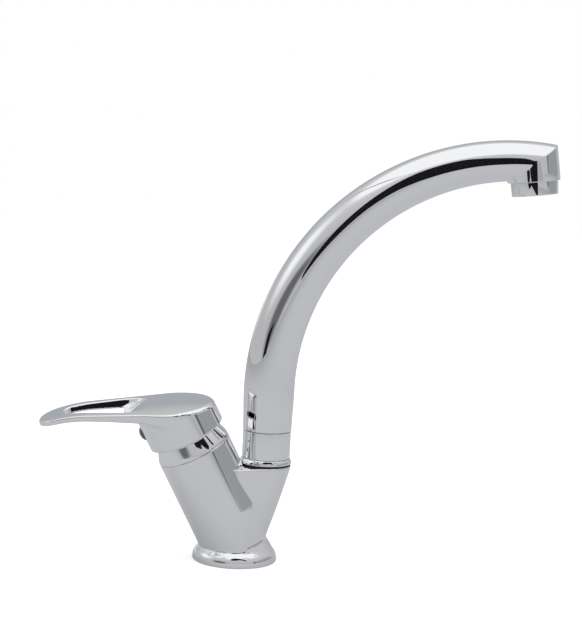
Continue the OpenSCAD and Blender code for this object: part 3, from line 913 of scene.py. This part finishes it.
@dataclass
class Lever:
    """The cap and the loop lever, in one casting, with its index plug."""

    cap_r: float = 23.3
    skirt_wall: float = 1.6
    skirt_s: float = 87.6
    skirt_round: float = 0.8
    hollow_s: float = 95.8
    top_s: float = 110.0
    top_slope: float = 20.0
    top_round: float = 0.9
    back_round: float = 1.3
    back_u: float = 12.0
    back_len: float = 24.0
    side_crown: float = 320.0
    back_crown: float = 500.0
    arm_u: float = 1.0
    arm_inset: float = 0.6
    arm_back: float = 4.0
    arm_fillet: float = 3.5
    under_steep: float = 0.97
    under_round: float = 2.2
    reach: float = 79.0
    tip_r: float = 13.0
    tip_t: float = 4.0
    root_t: float = 6.4
    root_past: float = 1.3
    tip_droop: float = 5.0
    droop_len: float = 31.0
    loop_near: float = 12.0
    loop_rim: float = 14.0
    loop_w_near: float = 28.0
    loop_w_far: float = 15.5
    loop_lean: float = 0.45
    loop_depth: float = 9.0
    loop_round: float = 0.9
    ramp_gap: float = 1.0
    ramp_run: float = 0.326
    ramp_rise: float = 0.945
    ramp_round: float = 1.6
    stem_half: float = 4.0
    stem_top_s: float = 104.05
    screw_s: float = 99.3
    screw_r: float = 3.0
    plug_s: float = 98.5
    plug_r: float = 5.3
    plug_seat: float = 3.0
    plug_h: float = 2.4
    plug_out: float = 3.0
    plug_gap: float = 0.05
    plug_edge: float = 0.3
    plug_step: float = 0.2
    plug_rings: int = 12
    plug_sides: int = 64
    pole: float = 0.02
    low: Triple = (-84.0, -26.0, 84.0)
    high: Triple = (26.0, 26.0, 142.0)
    step: float = 0.62

    def solid(self, x: Array, y: Array, s: Array) -> Array:
        """Distance to the lever.

        Args:
            x, y, s: the points, in the lever's own frame.

        Returns:
            The distance, negative inside.
        """
        slope = math.radians(self.top_slope)
        px, ps = x, s - self.top_s
        u = -(px * math.cos(slope) - ps * math.sin(slope))
        w = px * math.sin(slope) + ps * math.cos(slope)
        past = np.maximum(0, (u - self.reach + self.droop_len) / self.droop_len)
        droop = self.tip_droop * past ** 2
        share = np.clip((self.reach - u) / (self.reach - self.cap_r), 0, self.root_past)
        thick = self.tip_t + (self.root_t - self.tip_t) * share ** 2
        crown = y * y / self.side_crown + np.maximum(0, -u) ** 2 / self.back_crown
        top = w + droop + crown
        under = -(w + droop + thick) * self.under_steep
        plan = tapered_slot(u, y, self.arm_u, self.cap_r - self.arm_inset,
                            self.reach - self.tip_r, self.tip_r)
        arm = np.maximum(smooth_cut(plan, under, self.under_round), -u - self.arm_back)
        cap = smooth_cut(np.hypot(x, y) - self.cap_r, self.skirt_s - s, self.skirt_round)
        form = smooth_union(cap, arm, self.arm_fillet)
        back = np.clip((self.back_u - u) / self.back_len, 0, 1)
        form = smooth_cut(form, top, self.top_round + self.back_round * back)
        return smooth_cut(form, -self.hollows(x, y, s, u, w), self.loop_round)

    def hollows(self, x: Array, y: Array, s: Array, u: Array, w: Array) -> Array:
        """Distance to what is hollow: the loop, the skirt and the holes for stem, screw and plug.

        Args:
            x, y, s: the points, in the lever's own frame.
            u: distances along the lever's top from the cap's axis.
            w: heights above the top.

        Returns:
            The distance, negative in the hollows.
        """
        depth = -w
        near_r, far_r = self.loop_w_near / 2, self.loop_w_far / 2
        near, far = self.loop_near + near_r, self.reach - self.loop_rim - far_r
        funnel = self.loop_lean * np.clip(depth, 0, self.loop_depth)
        loop = tapered_slot(u, y, near, near_r - funnel, far, far_r - funnel)
        ramp = -(u - self.loop_near - self.ramp_gap) * self.ramp_run + depth * self.ramp_rise
        loop = smooth_cut(loop, ramp, self.ramp_round)
        skirt = smooth_cut(np.hypot(x, y) - (self.cap_r - self.skirt_wall), s - self.hollow_s,
                           self.skirt_round)
        holes = [
            (np.maximum(np.abs(x), np.abs(y)) - self.stem_half, s - self.stem_top_s),
            (np.hypot(y, s - self.screw_s) - self.screw_r, x),
            (np.hypot(y, s - self.plug_s) - self.plug_r, x + self.cap_r - self.plug_seat),
        ]
        return np.minimum.reduce([loop, skirt] + [np.maximum(side, end) for side, end in holes])

    def build(self) -> Object:
        """Mesh the lever and dress it.

        Returns:
            The lever.
        """
        points, faces, normals = nets(self.solid, self.low, self.high, self.step)
        frame = LAYOUT.lever()
        piece = Piece("loop_lever", "lever", "chrome_lever", "lever_handle")
        return piece.make(move(points, frame), faces, normals @ frame[:3, :3].T)

    def build_plug(self) -> Object:
        """Revolve the index plug's dome and dress it.

        Returns:
            The plug.
        """
        r, out = self.plug_r - self.plug_gap, self.plug_out
        seat = self.cap_r - self.plug_seat
        edge = seat + self.plug_h
        ball = (r * r + out * out) / (2 * out)
        first = math.asin(min(1.0, (r - self.plug_edge) / ball))
        dome = [(ball * math.sin(a), edge + out - ball + ball * math.cos(a))
                for a in np.linspace(first, self.pole, self.plug_rings)]
        foot = seat + self.plug_gap
        profile = [(self.pole, foot), (r, foot), (r, edge - self.plug_step)] + dome
        frame = LAYOUT.lever() @ shift(0, 0, self.plug_s) @ turn("Y", -90)
        piece = Piece("plug_dome", "lever", "index_plug", "index_plug", Finishes.PLUG)
        return piece.revolve(profile, frame, self.plug_sides)


# The spout and what it turns on


@dataclass
class SpoutJoint:
    """The flared slip ring and the collar, which stand on the washer under the spout."""

    branch_r: float = 15.8
    washer_t: float = 1.1
    slip_h: float = 3.1
    collar_h: float = 16.5
    collar_r: float = 14.6
    nipple_r: float = 8.0
    nipple_gap: float = 0.1
    hub_r: float = 12.7
    hub_gap: float = 0.05
    seam: float = 0.15
    band_h: float = 1.4
    band_in: float = 0.15
    bevel: float = 0.35

    def slip_z(self) -> float:
        """Height of the slip ring's underside."""
        return LAYOUT.branch_z + self.washer_t

    def collar_z(self) -> float:
        """Height of the collar's lower edge."""
        return self.slip_z() + self.slip_h + self.seam

    def build(self) -> list[Object]:
        """Revolve the slip ring and the collar and dress them.

        Returns:
            The slip ring and the collar.
        """
        z, r = self.slip_z(), self.branch_r
        top, bore = z + self.slip_h, self.nipple_r + self.nipple_gap
        ring = rounded([
            (bore, z, 0), (r, z, 0.25), (r - self.band_in, z + self.band_h, 0.6),
            (self.collar_r + self.bevel, top - self.bevel, 0.3), (self.collar_r, top, 0.2),
            (bore, top, 0)])
        slip = Piece("slip_flare", "base", "chrome_ring", "slip_ring")
        low, high = self.collar_z(), self.collar_z() + self.collar_h
        inner = self.hub_r + self.hub_gap
        band = rounded([
            (inner, low, 0), (self.collar_r, low, 0.35),
            (self.collar_r, high, 0.3), (inner, high, 0)])
        collar = Piece("collar_band", "spout", "chrome_spout", "spout_collar")
        return [slip.revolve(ring, shift(LAYOUT.spout_x, 0, 0)),
                collar.revolve(band, LAYOUT.spout())]


@dataclass
class Spout:
    """The tapering gooseneck, which flattens along its bend to a mitred outlet head."""

    tube_z: float = 79.65
    low_r: float = 14.8
    tube_r: float = 15.4
    wall: float = 1.7
    bend_r: float = 145.5
    bend_z: float = 104.0
    end_rise: float = 11.9
    head_r: float = 16.1
    head_rim_r: float = 15.5
    head_lean: float = 7.5
    outlet_reach: float = 151.0
    lip_h: float = 1.8
    thread_r: float = 13.5
    flatten: float = 1.3
    chamfer: float = 0.3
    chamfer_mid: float = 0.1
    straight: Pair = (0.08, 0.92)
    straight_rings: int = 8
    mitre_round: float = 0.7
    mitre_share: float = 0.4
    mitre_rings: int = 6
    head_rings: Triple = (0.35, 0.7, 0.97)
    rim_round: float = 0.25
    sides: int = 144
    rings: int = 150
    least_gap: float = 0.002
    inner_rings: int = 40
    search: float = 0.55
    halvings: int = 40
    sharp: float = 32.0

    def __post_init__(self) -> None:
        """Work out the mitre's plane and the head's axis."""
        self.mitre_angle = math.acos(1 - self.outlet_reach / self.bend_r)
        lean = math.radians(self.head_lean)
        share = self.end_rise / self.head_r
        slope = math.atan2(share * math.cos(lean), 1 - share * math.sin(lean))
        half = self.end_rise / math.sin(slope)
        self.mitre_centre = self.line(np.array(self.mitre_angle))
        self.mitre_normal = np.array([math.sin(slope), 0, -math.cos(slope)])
        self.head_axis = np.array([math.sin(lean), 0, -math.cos(lean)])
        self.head_side = np.array([math.cos(lean), 0, math.sin(lean)])
        drop = half * math.sin(slope - lean) + self.lip_h
        self.rim_centre = (self.mitre_centre + self.head_axis * drop
                           - self.head_side * (self.head_r - self.head_rim_r))

    def line(self, a: Array) -> Array:
        """Points of the bend's middle line at some angles, in radians, in the spout's frame."""
        return np.stack([self.bend_r * (1 - np.cos(a)), np.zeros_like(a),
                         self.bend_z + self.bend_r * np.sin(a)], axis=-1)

    def skin(self, a: Array, psi: Array, inset: float) -> Array:
        """Points on the bend's skin.

        Args:
            a: angles along the bend, in radians.
            psi: angles round the section.
            inset: distance inside the outer skin.

        Returns:
            The points, in the spout's frame.
        """
        share = a / self.mitre_angle
        bent = np.maximum(share, 0) ** self.flatten
        rise = self.tube_r + (self.end_rise - self.tube_r) * bent - inset
        span = self.tube_r + (self.head_r - self.tube_r) * share - inset
        outward = np.stack([-np.cos(a), np.zeros_like(a), np.sin(a)], axis=-1)
        return (self.line(a) + (span * np.cos(psi))[..., None] * np.array([0, 1, 0])
                + (rise * np.sin(psi))[..., None] * outward)

    def cut_angles(self, psi: Array, inset: float) -> Array:
        """Angle along the bend at which each line of the skin meets the mitre.

        Args:
            psi: angles round the section.
            inset: distance inside the outer skin.

        Returns:
            The angles along the bend, in radians.
        """
        low = np.full_like(psi, self.mitre_angle - self.search)
        high = np.full_like(psi, self.mitre_angle + self.search)
        for _ in range(self.halvings):
            mid = (low + high) / 2
            past = (self.skin(mid, psi, inset) - self.mitre_centre) @ self.mitre_normal > 0
            low, high = np.where(past, low, mid), np.where(past, mid, high)
        return low

    def ring(self, centre: Array, side: Array, radius: float, psi: Array) -> Array:
        """Points of a round ring in the plane of the Y axis and a second direction."""
        across = np.cos(psi)[:, None] * np.array([0, 1, 0])
        return centre + radius * (across + np.sin(psi)[:, None] * side)

    def loops(self) -> list[Array]:
        """The rings of the closed skin: up the outside, round the rim, down the inside.

        Returns:
            The rings, each with a point for every side.
        """
        psi = np.linspace(0, 2 * math.pi, self.sides, endpoint=False)
        side = np.array([-1.0, 0, 0])
        foot, r = np.array([0, 0, self.tube_z]), self.low_r
        out = [self.ring(foot, side, r - self.chamfer, psi),
               self.ring(foot + [0, 0, self.chamfer_mid], side, r - self.chamfer_mid, psi),
               self.ring(foot + [0, 0, self.chamfer], side, r, psi)]
        length = self.bend_z - self.tube_z
        for t in np.linspace(*self.straight, self.straight_rings):
            wide = r + (self.tube_r - r) * t * t * (3 - 2 * t)
            out.append(self.ring(foot + [0, 0, length * t], side, wide, psi))
        ends = self.cut_angles(psi, 0.0)
        shares = np.linspace(0, 1, self.rings)
        near = 1 - self.mitre_round / (self.bend_r * self.mitre_angle)
        for share in shares[shares < near - self.least_gap]:
            out.append(self.skin(ends * share, psi, 0.0))
        before = self.skin(ends * near, psi, 0.0)
        edge = self.skin(ends, psi, 0.0)
        rim = self.ring(self.rim_centre, self.head_side, self.head_rim_r, psi)
        room = np.linalg.norm(rim - edge, axis=1)
        down = (rim - edge) / room[:, None]
        after = edge + down * np.minimum(self.mitre_round, room * self.mitre_share)[:, None]
        for t in np.linspace(0, 1, self.mitre_rings):
            out.append((1 - t) ** 2 * before + 2 * t * (1 - t) * edge + t * t * after)
        for t in self.head_rings:
            out.append(after + (rim - after) * t)
        for radius in (self.head_rim_r - self.rim_round, self.thread_r):
            out.append(self.ring(self.rim_centre, self.head_side, radius, psi))
        inner_ends = self.cut_angles(psi, self.wall)
        for share in np.linspace(1, 0, self.inner_rings):
            out.append(self.skin(inner_ends * share, psi, self.wall))
        out.append(self.ring(foot, side, r - self.wall, psi))
        return out

    def build(self) -> Object:
        """Join the rings into one closed skin and dress it.

        Returns:
            The spout.
        """
        loops = self.loops()
        points = move(np.vstack(loops), LAYOUT.spout())
        count, n = len(loops), self.sides
        faces = []
        for j in range(count):
            up = (j + 1) % count
            for k in range(n):
                nxt = (k + 1) % n
                faces.append([j * n + k, j * n + nxt, up * n + nxt, up * n + k])
        piece = Piece("gooseneck", "spout", "chrome_spout", "spout_tube")
        return piece.make(points, faces, sharp_above=self.sharp)


@dataclass
class Aerator:
    """The aerator's housing, in the outlet head's own frame."""

    housing_r: float = 14.1
    taper: float = 0.4
    height: float = 8.2
    thread_r: float = 13.3
    thread_h: float = 6.0
    insert_r: float = 11.0
    seam: float = 0.12
    bevel_h: float = 0.4
    bevel_w: float = 0.6
    sides: int = 144

    def frame(self, spout: Spout) -> Array:
        """Frame of the outlet head: origin at the rim's centre, +Z up the head's axis."""
        return LAYOUT.spout() @ shift(*spout.rim_centre) @ turn("Y", -spout.head_lean)

    def build(self, spout: Spout) -> Object:
        """Revolve the housing and dress it.

        Args:
            spout: the spout, whose outlet head it stands in.

        Returns:
            The housing.
        """
        low, inner = -self.height, self.insert_r
        wall = rounded([
            (inner, self.thread_h, 0), (inner, low + self.bevel_h, 0.3),
            (inner + self.bevel_w, low, 0.3), (self.housing_r - self.taper, low, 0.6),
            (self.housing_r, -self.seam, 0.25), (self.thread_r, -self.seam, 0),
            (self.thread_r, self.thread_h, 0)])
        piece = Piece("aerator_sleeve", "spout", "chrome_aerator", "aerator_housing")
        return piece.revolve(wall, self.frame(spout), self.sides)


# The pieces that keep their CAD shape


def dress_inner(nodes: dict[str, Object]) -> None:
    """Give the CAD nodes that stay in view, or inside, their finishes.

    Args:
        nodes: the CAD nodes by name.
    """
    finishes = {
        Finishes.BRASS: ["cartridge_nut", "spout_nipple", "spout_hub"],
        Finishes.CARTRIDGE: ["cartridge_housing", "port_plate", "disc_carrier", "rotor"],
        Finishes.CERAMIC: ["fixed_disc", "moving_disc"],
        Finishes.STEEL: ["stem_pin", "stem", "grub_screw", "retaining_clip"],
        Finishes.RUBBER: ["base_gasket", "port_seals", "nipple_orings", "bearing_washer",
                          "aerator_gasket"],
        Finishes.AERATOR: ["aerator_insert"],
    }
    for finish, names in finishes.items():
        for name in names:
            piece, material = nodes[name], finish.value.material()
            if not piece.material_slots:
                piece.data.materials.append(material)
            for slot in piece.material_slots:
                slot.material = material
            log.info("%s: finished as %s", name, finish.value.name)


# The studio


@dataclass(frozen=True)
class Patch:
    """A soft oval of darker or lighter tone in the tent that surrounds the mixer.

    Attributes:
        azimuth: its direction in degrees, 0 towards the front, positive to the right.
        elevation: its height above the horizon, in degrees.
        half_width: half its width, in degrees.
        half_height: half its height, in degrees.
        tone: the grey that it takes at its middle.
        soft: the share of its size over which its edge fades.
        tilt: its turn in degrees, clockwise as seen from inside.
        cool: how far its tone leans to blue.
    """

    azimuth: float
    elevation: float
    half_width: float
    half_height: float
    tone: float
    soft: float = 0.5
    tilt: float = 0.0
    cool: float = 0.01


@dataclass
class Studio:
    """Floor, tent of light, lamp, black cards and camera."""

    camera_at: Triple = (-0.2645, -0.9024, 0.2490)
    camera_forward: Triple = (0.3072, 0.9456, -0.1071)
    camera_roll: float = 2.94
    lens: float = 88.67
    sensor: float = 36.0
    clip: Pair = (0.05, 50.0)
    floor_half: float = 4.0
    floor_white: Colour = (0.86, 0.86, 0.87, 1.0)
    floor_glow: float = 0.42
    mirrored_grey: Colour = (0.34, 0.34, 0.345, 1.0)
    mirrored_tint: Colour = (0.97, 0.98, 1.0, 1.0)
    mirrored_glow: float = 0.16
    cloth: Colour = (0.012, 0.012, 0.014, 1.0)
    turned: float = -18.0
    card_y: float = -250.0
    card: tuple[Pair, ...] = (
        (-44, 226), (-34, 194), (-14, 177), (-2, 171), (14, 179), (36, 188), (50, 195),
        (60, 205), (68, 221), (86, 229), (104, 231), (120, 229), (128, 219), (142, 213),
        (154, 204), (164, 194), (172, 182), (182, 172), (191, 166), (197, 178), (200, 225),
        (199, 280), (197, 312), (192, 338), (180, 347), (163, 360), (145, 387), (130, 408),
        (117, 433), (103, 450), (73, 457), (40, 458), (17, 455), (5, 440), (-8, 410),
        (-16, 393), (-24, 353), (-31, 325), (-38, 290), (-43, 258))
    head_card_y: float = -120.0
    head_card: tuple[Pair, ...] = (
        (84, 231), (100, 228), (110, 225), (120, 220), (132, 216), (144, 211), (156, 206),
        (166, 200), (184, 198), (184, 262), (84, 262))
    loop_card_y: float = -90.0
    loop_card: tuple[Pair, ...] = ((-80, 120), (-80, 148), (-44, 156), (-44, 124))
    patches: tuple[Patch, ...] = (
        Patch(-92, 30, 30, 22, 1.0, 0.8),
        Patch(-38, 8, 28, 15, 0.14, 0.6),
        Patch(-95, 57, 60, 0.9, 0.15, 0.8, -18),
        Patch(-160, 6, 30, 9, 1.0, 0.8),
        Patch(94, 6, 38, 17, 0.33, 0.3),
        Patch(60, 7, 6, 12, 0.10, 0.7),
        Patch(180, 18, 60, 22, 0.43, 0.6, 0, 0.05),
        Patch(20, 56, 26, 12, 1.0, 0.8),
    )
    tent: tuple[Pair, ...] = (
        (0.0, 0.50), (0.48, 0.52), (0.54, 0.50), (0.66, 0.52), (0.80, 0.57), (0.86, 0.64),
        (0.90, 1.0), (1.0, 1.0))
    even: Colour = (0.95, 0.96, 1.0, 1.0)
    even_light: float = 0.75
    lamp_at: Triple = (-0.1, -0.2, 1.5)
    lamp_size: Pair = (1.6, 1.2)
    lamp_power: float = 14.0
    lamp_aim: Triple = (0.04, 0.0, 0.12)

    def camera(self) -> Object:
        """Make the camera at the photograph's viewing angle.

        Returns:
            The camera.
        """
        data = bpy.data.cameras.new("view")
        data.lens, data.sensor_width, data.sensor_fit = self.lens, self.sensor, "AUTO"
        data.clip_start, data.clip_end = self.clip
        camera = bpy.data.objects.new("view", data)
        bpy.context.scene.collection.objects.link(camera)
        forward = Vector(self.camera_forward).normalized()
        right = forward.cross(Vector((0, 0, 1))).normalized()
        up = right.cross(forward)
        roll = math.radians(self.camera_roll)
        side = right * math.cos(roll) + up * math.sin(roll)
        head = up * math.cos(roll) - right * math.sin(roll)
        placed = Matrix((side, head, -forward)).transposed().to_4x4()
        placed.translation = Vector(self.camera_at)
        camera.matrix_world = placed
        bpy.context.scene.camera = camera
        return camera

    def stage_mesh(self, name: str, points: Sequence[Sequence[float]],
                   shader: Callable[[NodeGraph], Socket]) -> Object:
        """Add a flat piece of the stage.

        Args:
            name: the piece's name.
            points: the corners of its one face, in metres.
            shader: builds its surface and returns the shader's socket.

        Returns:
            The piece.
        """
        mesh = bpy.data.meshes.new(name)
        mesh.from_pydata([tuple(p) for p in points], [], [tuple(range(len(points)))])
        piece = bpy.data.objects.new(name, mesh)
        bpy.context.scene.collection.objects.link(piece)
        material = bpy.data.materials.new(name + "_paint")
        material.use_nodes = True
        graph = NodeGraph(material.node_tree)
        output = graph.add("ShaderNodeOutputMaterial")
        graph.link(shader(graph), output.inputs["Surface"])
        mesh.materials.append(material)
        return piece

    def floor_paint(self, graph: NodeGraph) -> Socket:
        """Pale paint, which the camera sees as white with the mixer's soft shadow.

        Args:
            graph: the nodes of the floor's material.

        Returns:
            The paint's socket.
        """
        paint = graph.add("ShaderNodeBsdfDiffuse", Color=self.floor_white).outputs[0]
        glow = graph.add("ShaderNodeEmission", Color=WHITE, Strength=self.floor_glow).outputs[0]
        pale = graph.add("ShaderNodeBsdfDiffuse", Color=self.mirrored_grey).outputs[0]
        grey = graph.add(
            "ShaderNodeEmission", Color=self.mirrored_tint, Strength=self.mirrored_glow).outputs[0]
        bright = graph.shaders("ShaderNodeAddShader", paint, glow)
        mirrored = graph.shaders("ShaderNodeAddShader", pale, grey)
        return graph.by_ray(paint, mirrored, bright)

    def card_paint(self, graph: NodeGraph) -> Socket:
        """Black cloth."""
        return graph.add("ShaderNodeBsdfDiffuse", Color=self.cloth).outputs[0]

    def floor(self) -> Object:
        """Make the pale floor, which keeps a soft shadow.

        Returns:
            The floor.
        """
        h = self.floor_half
        corners = [(-h, -h, 0), (h, -h, 0), (h, h, 0), (-h, h, 0)]
        return self.stage_mesh("floor", corners, self.floor_paint)

    def black_card(self, name: str, outline: Sequence[Pair], at: float) -> Object:
        """Hang a black card, which only bright metal sees.

        Args:
            name: the card's name.
            outline: its corners, as places to the right and heights, in millimetres.
            at: its place towards the front, in millimetres.

        Returns:
            The card, which casts no shadow and stands in no picture.
        """
        corners = np.array([(x, at, z) for x, z in outline]) * MM
        card = self.stage_mesh(name, move(corners, turn("Z", self.turned)), self.card_paint)
        card.visible_camera = card.visible_diffuse = card.visible_shadow = False
        card.visible_transmission = card.visible_volume_scatter = False
        return card

    def patch(self, graph: NodeGraph, ray: Socket, under: Socket, patch: Patch) -> Socket:
        """Lay one patch of tone over the tent's tones.

        Args:
            graph: the world's nodes.
            ray: the direction, in the picture's frame.
            under: the tones below the patch.
            patch: the patch.

        Returns:
            The tones with the patch laid over them.
        """
        az, el = math.radians(patch.azimuth), math.radians(patch.elevation)
        roll = math.radians(patch.tilt)
        ahead = np.array([math.sin(az) * math.cos(el), -math.cos(az) * math.cos(el), math.sin(el)])
        right = np.array([math.cos(az), math.sin(az), 0.0])
        above = np.cross(right, ahead)
        above = above if above[2] > 0 else -above
        wide = right * math.cos(roll) - above * math.sin(roll)
        high = above * math.cos(roll) + right * math.sin(roll)
        parts = []
        for axis, size in ((wide, patch.half_width), (high, patch.half_height)):
            off = graph.dot(ray, axis / math.sin(math.radians(size)))
            parts.append(graph.math("POWER", graph.math("ABSOLUTE", off), 2.0))
        reach = graph.math("SQRT", graph.math("ADD", parts[0], parts[1]))
        inside = graph.add("ShaderNodeMapRange", interpolation_type="SMOOTHSTEP",
                           From_Min=1.0, From_Max=1.0 - patch.soft)
        graph.link(reach, inside.inputs["Value"])
        facing = graph.math("GREATER_THAN", graph.dot(ray, ahead), 0.0)
        share = graph.math("MULTIPLY", inside.outputs["Result"], facing)
        tone, lean = patch.tone, patch.cool
        return graph.mix(share, under, (tone * (1 - lean), tone, tone * (1 + lean), 1.0))

    def world(self) -> None:
        """Make the world: white to the camera, the tent's grey tones to metal."""
        world = bpy.data.worlds.new("studio")
        bpy.context.scene.world = world
        world.use_nodes = True
        graph = NodeGraph(world.node_tree)
        place = graph.add("ShaderNodeTexCoord")
        frame = graph.add("ShaderNodeMapping", Rotation=(0, 0, math.radians(-self.turned)))
        graph.link(place.outputs["Generated"], frame.inputs["Vector"])
        ray = frame.outputs["Vector"]
        split = graph.add("ShaderNodeSeparateXYZ")
        graph.link(ray, split.inputs[0])
        height = graph.math("ADD", graph.math("MULTIPLY", split.outputs["Z"], 0.5), 0.5)
        tones = graph.ramp(height, self.tent)
        for patch in self.patches:
            tones = self.patch(graph, ray, tones, patch)
        even, tent, white = (
            graph.add("ShaderNodeBackground", Color=colour, Strength=strength)
            for colour, strength in ((self.even, self.even_light), (WHITE, 1.0), (WHITE, 1.0)))
        graph.link(tones, tent.inputs["Color"])
        output = graph.add("ShaderNodeOutputWorld")
        chosen = graph.by_ray(even.outputs[0], tent.outputs[0], white.outputs[0])
        graph.link(chosen, output.inputs["Surface"])

    def lamp(self) -> Object:
        """Add the soft rectangular lamp overhead, which faces the mixer.

        Returns:
            The lamp.
        """
        data = bpy.data.lights.new("overhead_softbox", "AREA")
        data.shape, data.energy = "RECTANGLE", self.lamp_power
        data.size, data.size_y = self.lamp_size
        lamp = bpy.data.objects.new("overhead_softbox", data)
        bpy.context.scene.collection.objects.link(lamp)
        lamp.location = self.lamp_at
        lamp.rotation_mode = "QUATERNION"
        aim = Vector(self.lamp_aim) - Vector(self.lamp_at)
        lamp.rotation_quaternion = aim.to_track_quat("-Z", "Y")
        lamp.visible_glossy = False
        return lamp

    def build(self) -> None:
        """Set the studio up."""
        bpy.context.scene.view_settings.view_transform = "Standard"
        self.camera()
        self.floor()
        self.black_card("card", self.card, self.card_y)
        self.black_card("card_head", self.head_card, self.head_card_y)
        self.black_card("card_loop", self.loop_card, self.loop_card_y)
        self.world()
        self.lamp()
        log.info("studio: camera, floor, cards, world and lamp")


def main() -> None:
    """Load the frame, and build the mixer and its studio."""
    logging.basicConfig(level=logging.INFO, format="%(name)s: %(message)s")
    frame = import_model()
    Studio().build()
    BaseCasting().build()
    DomeRing().build()
    lever = Lever()
    lever.build()
    lever.build_plug()
    SpoutJoint().build()
    spout = Spout()
    spout.build()
    Aerator().build(spout)
    dress_inner(frame["nodes"])


if __name__ == "__main__":
    main()
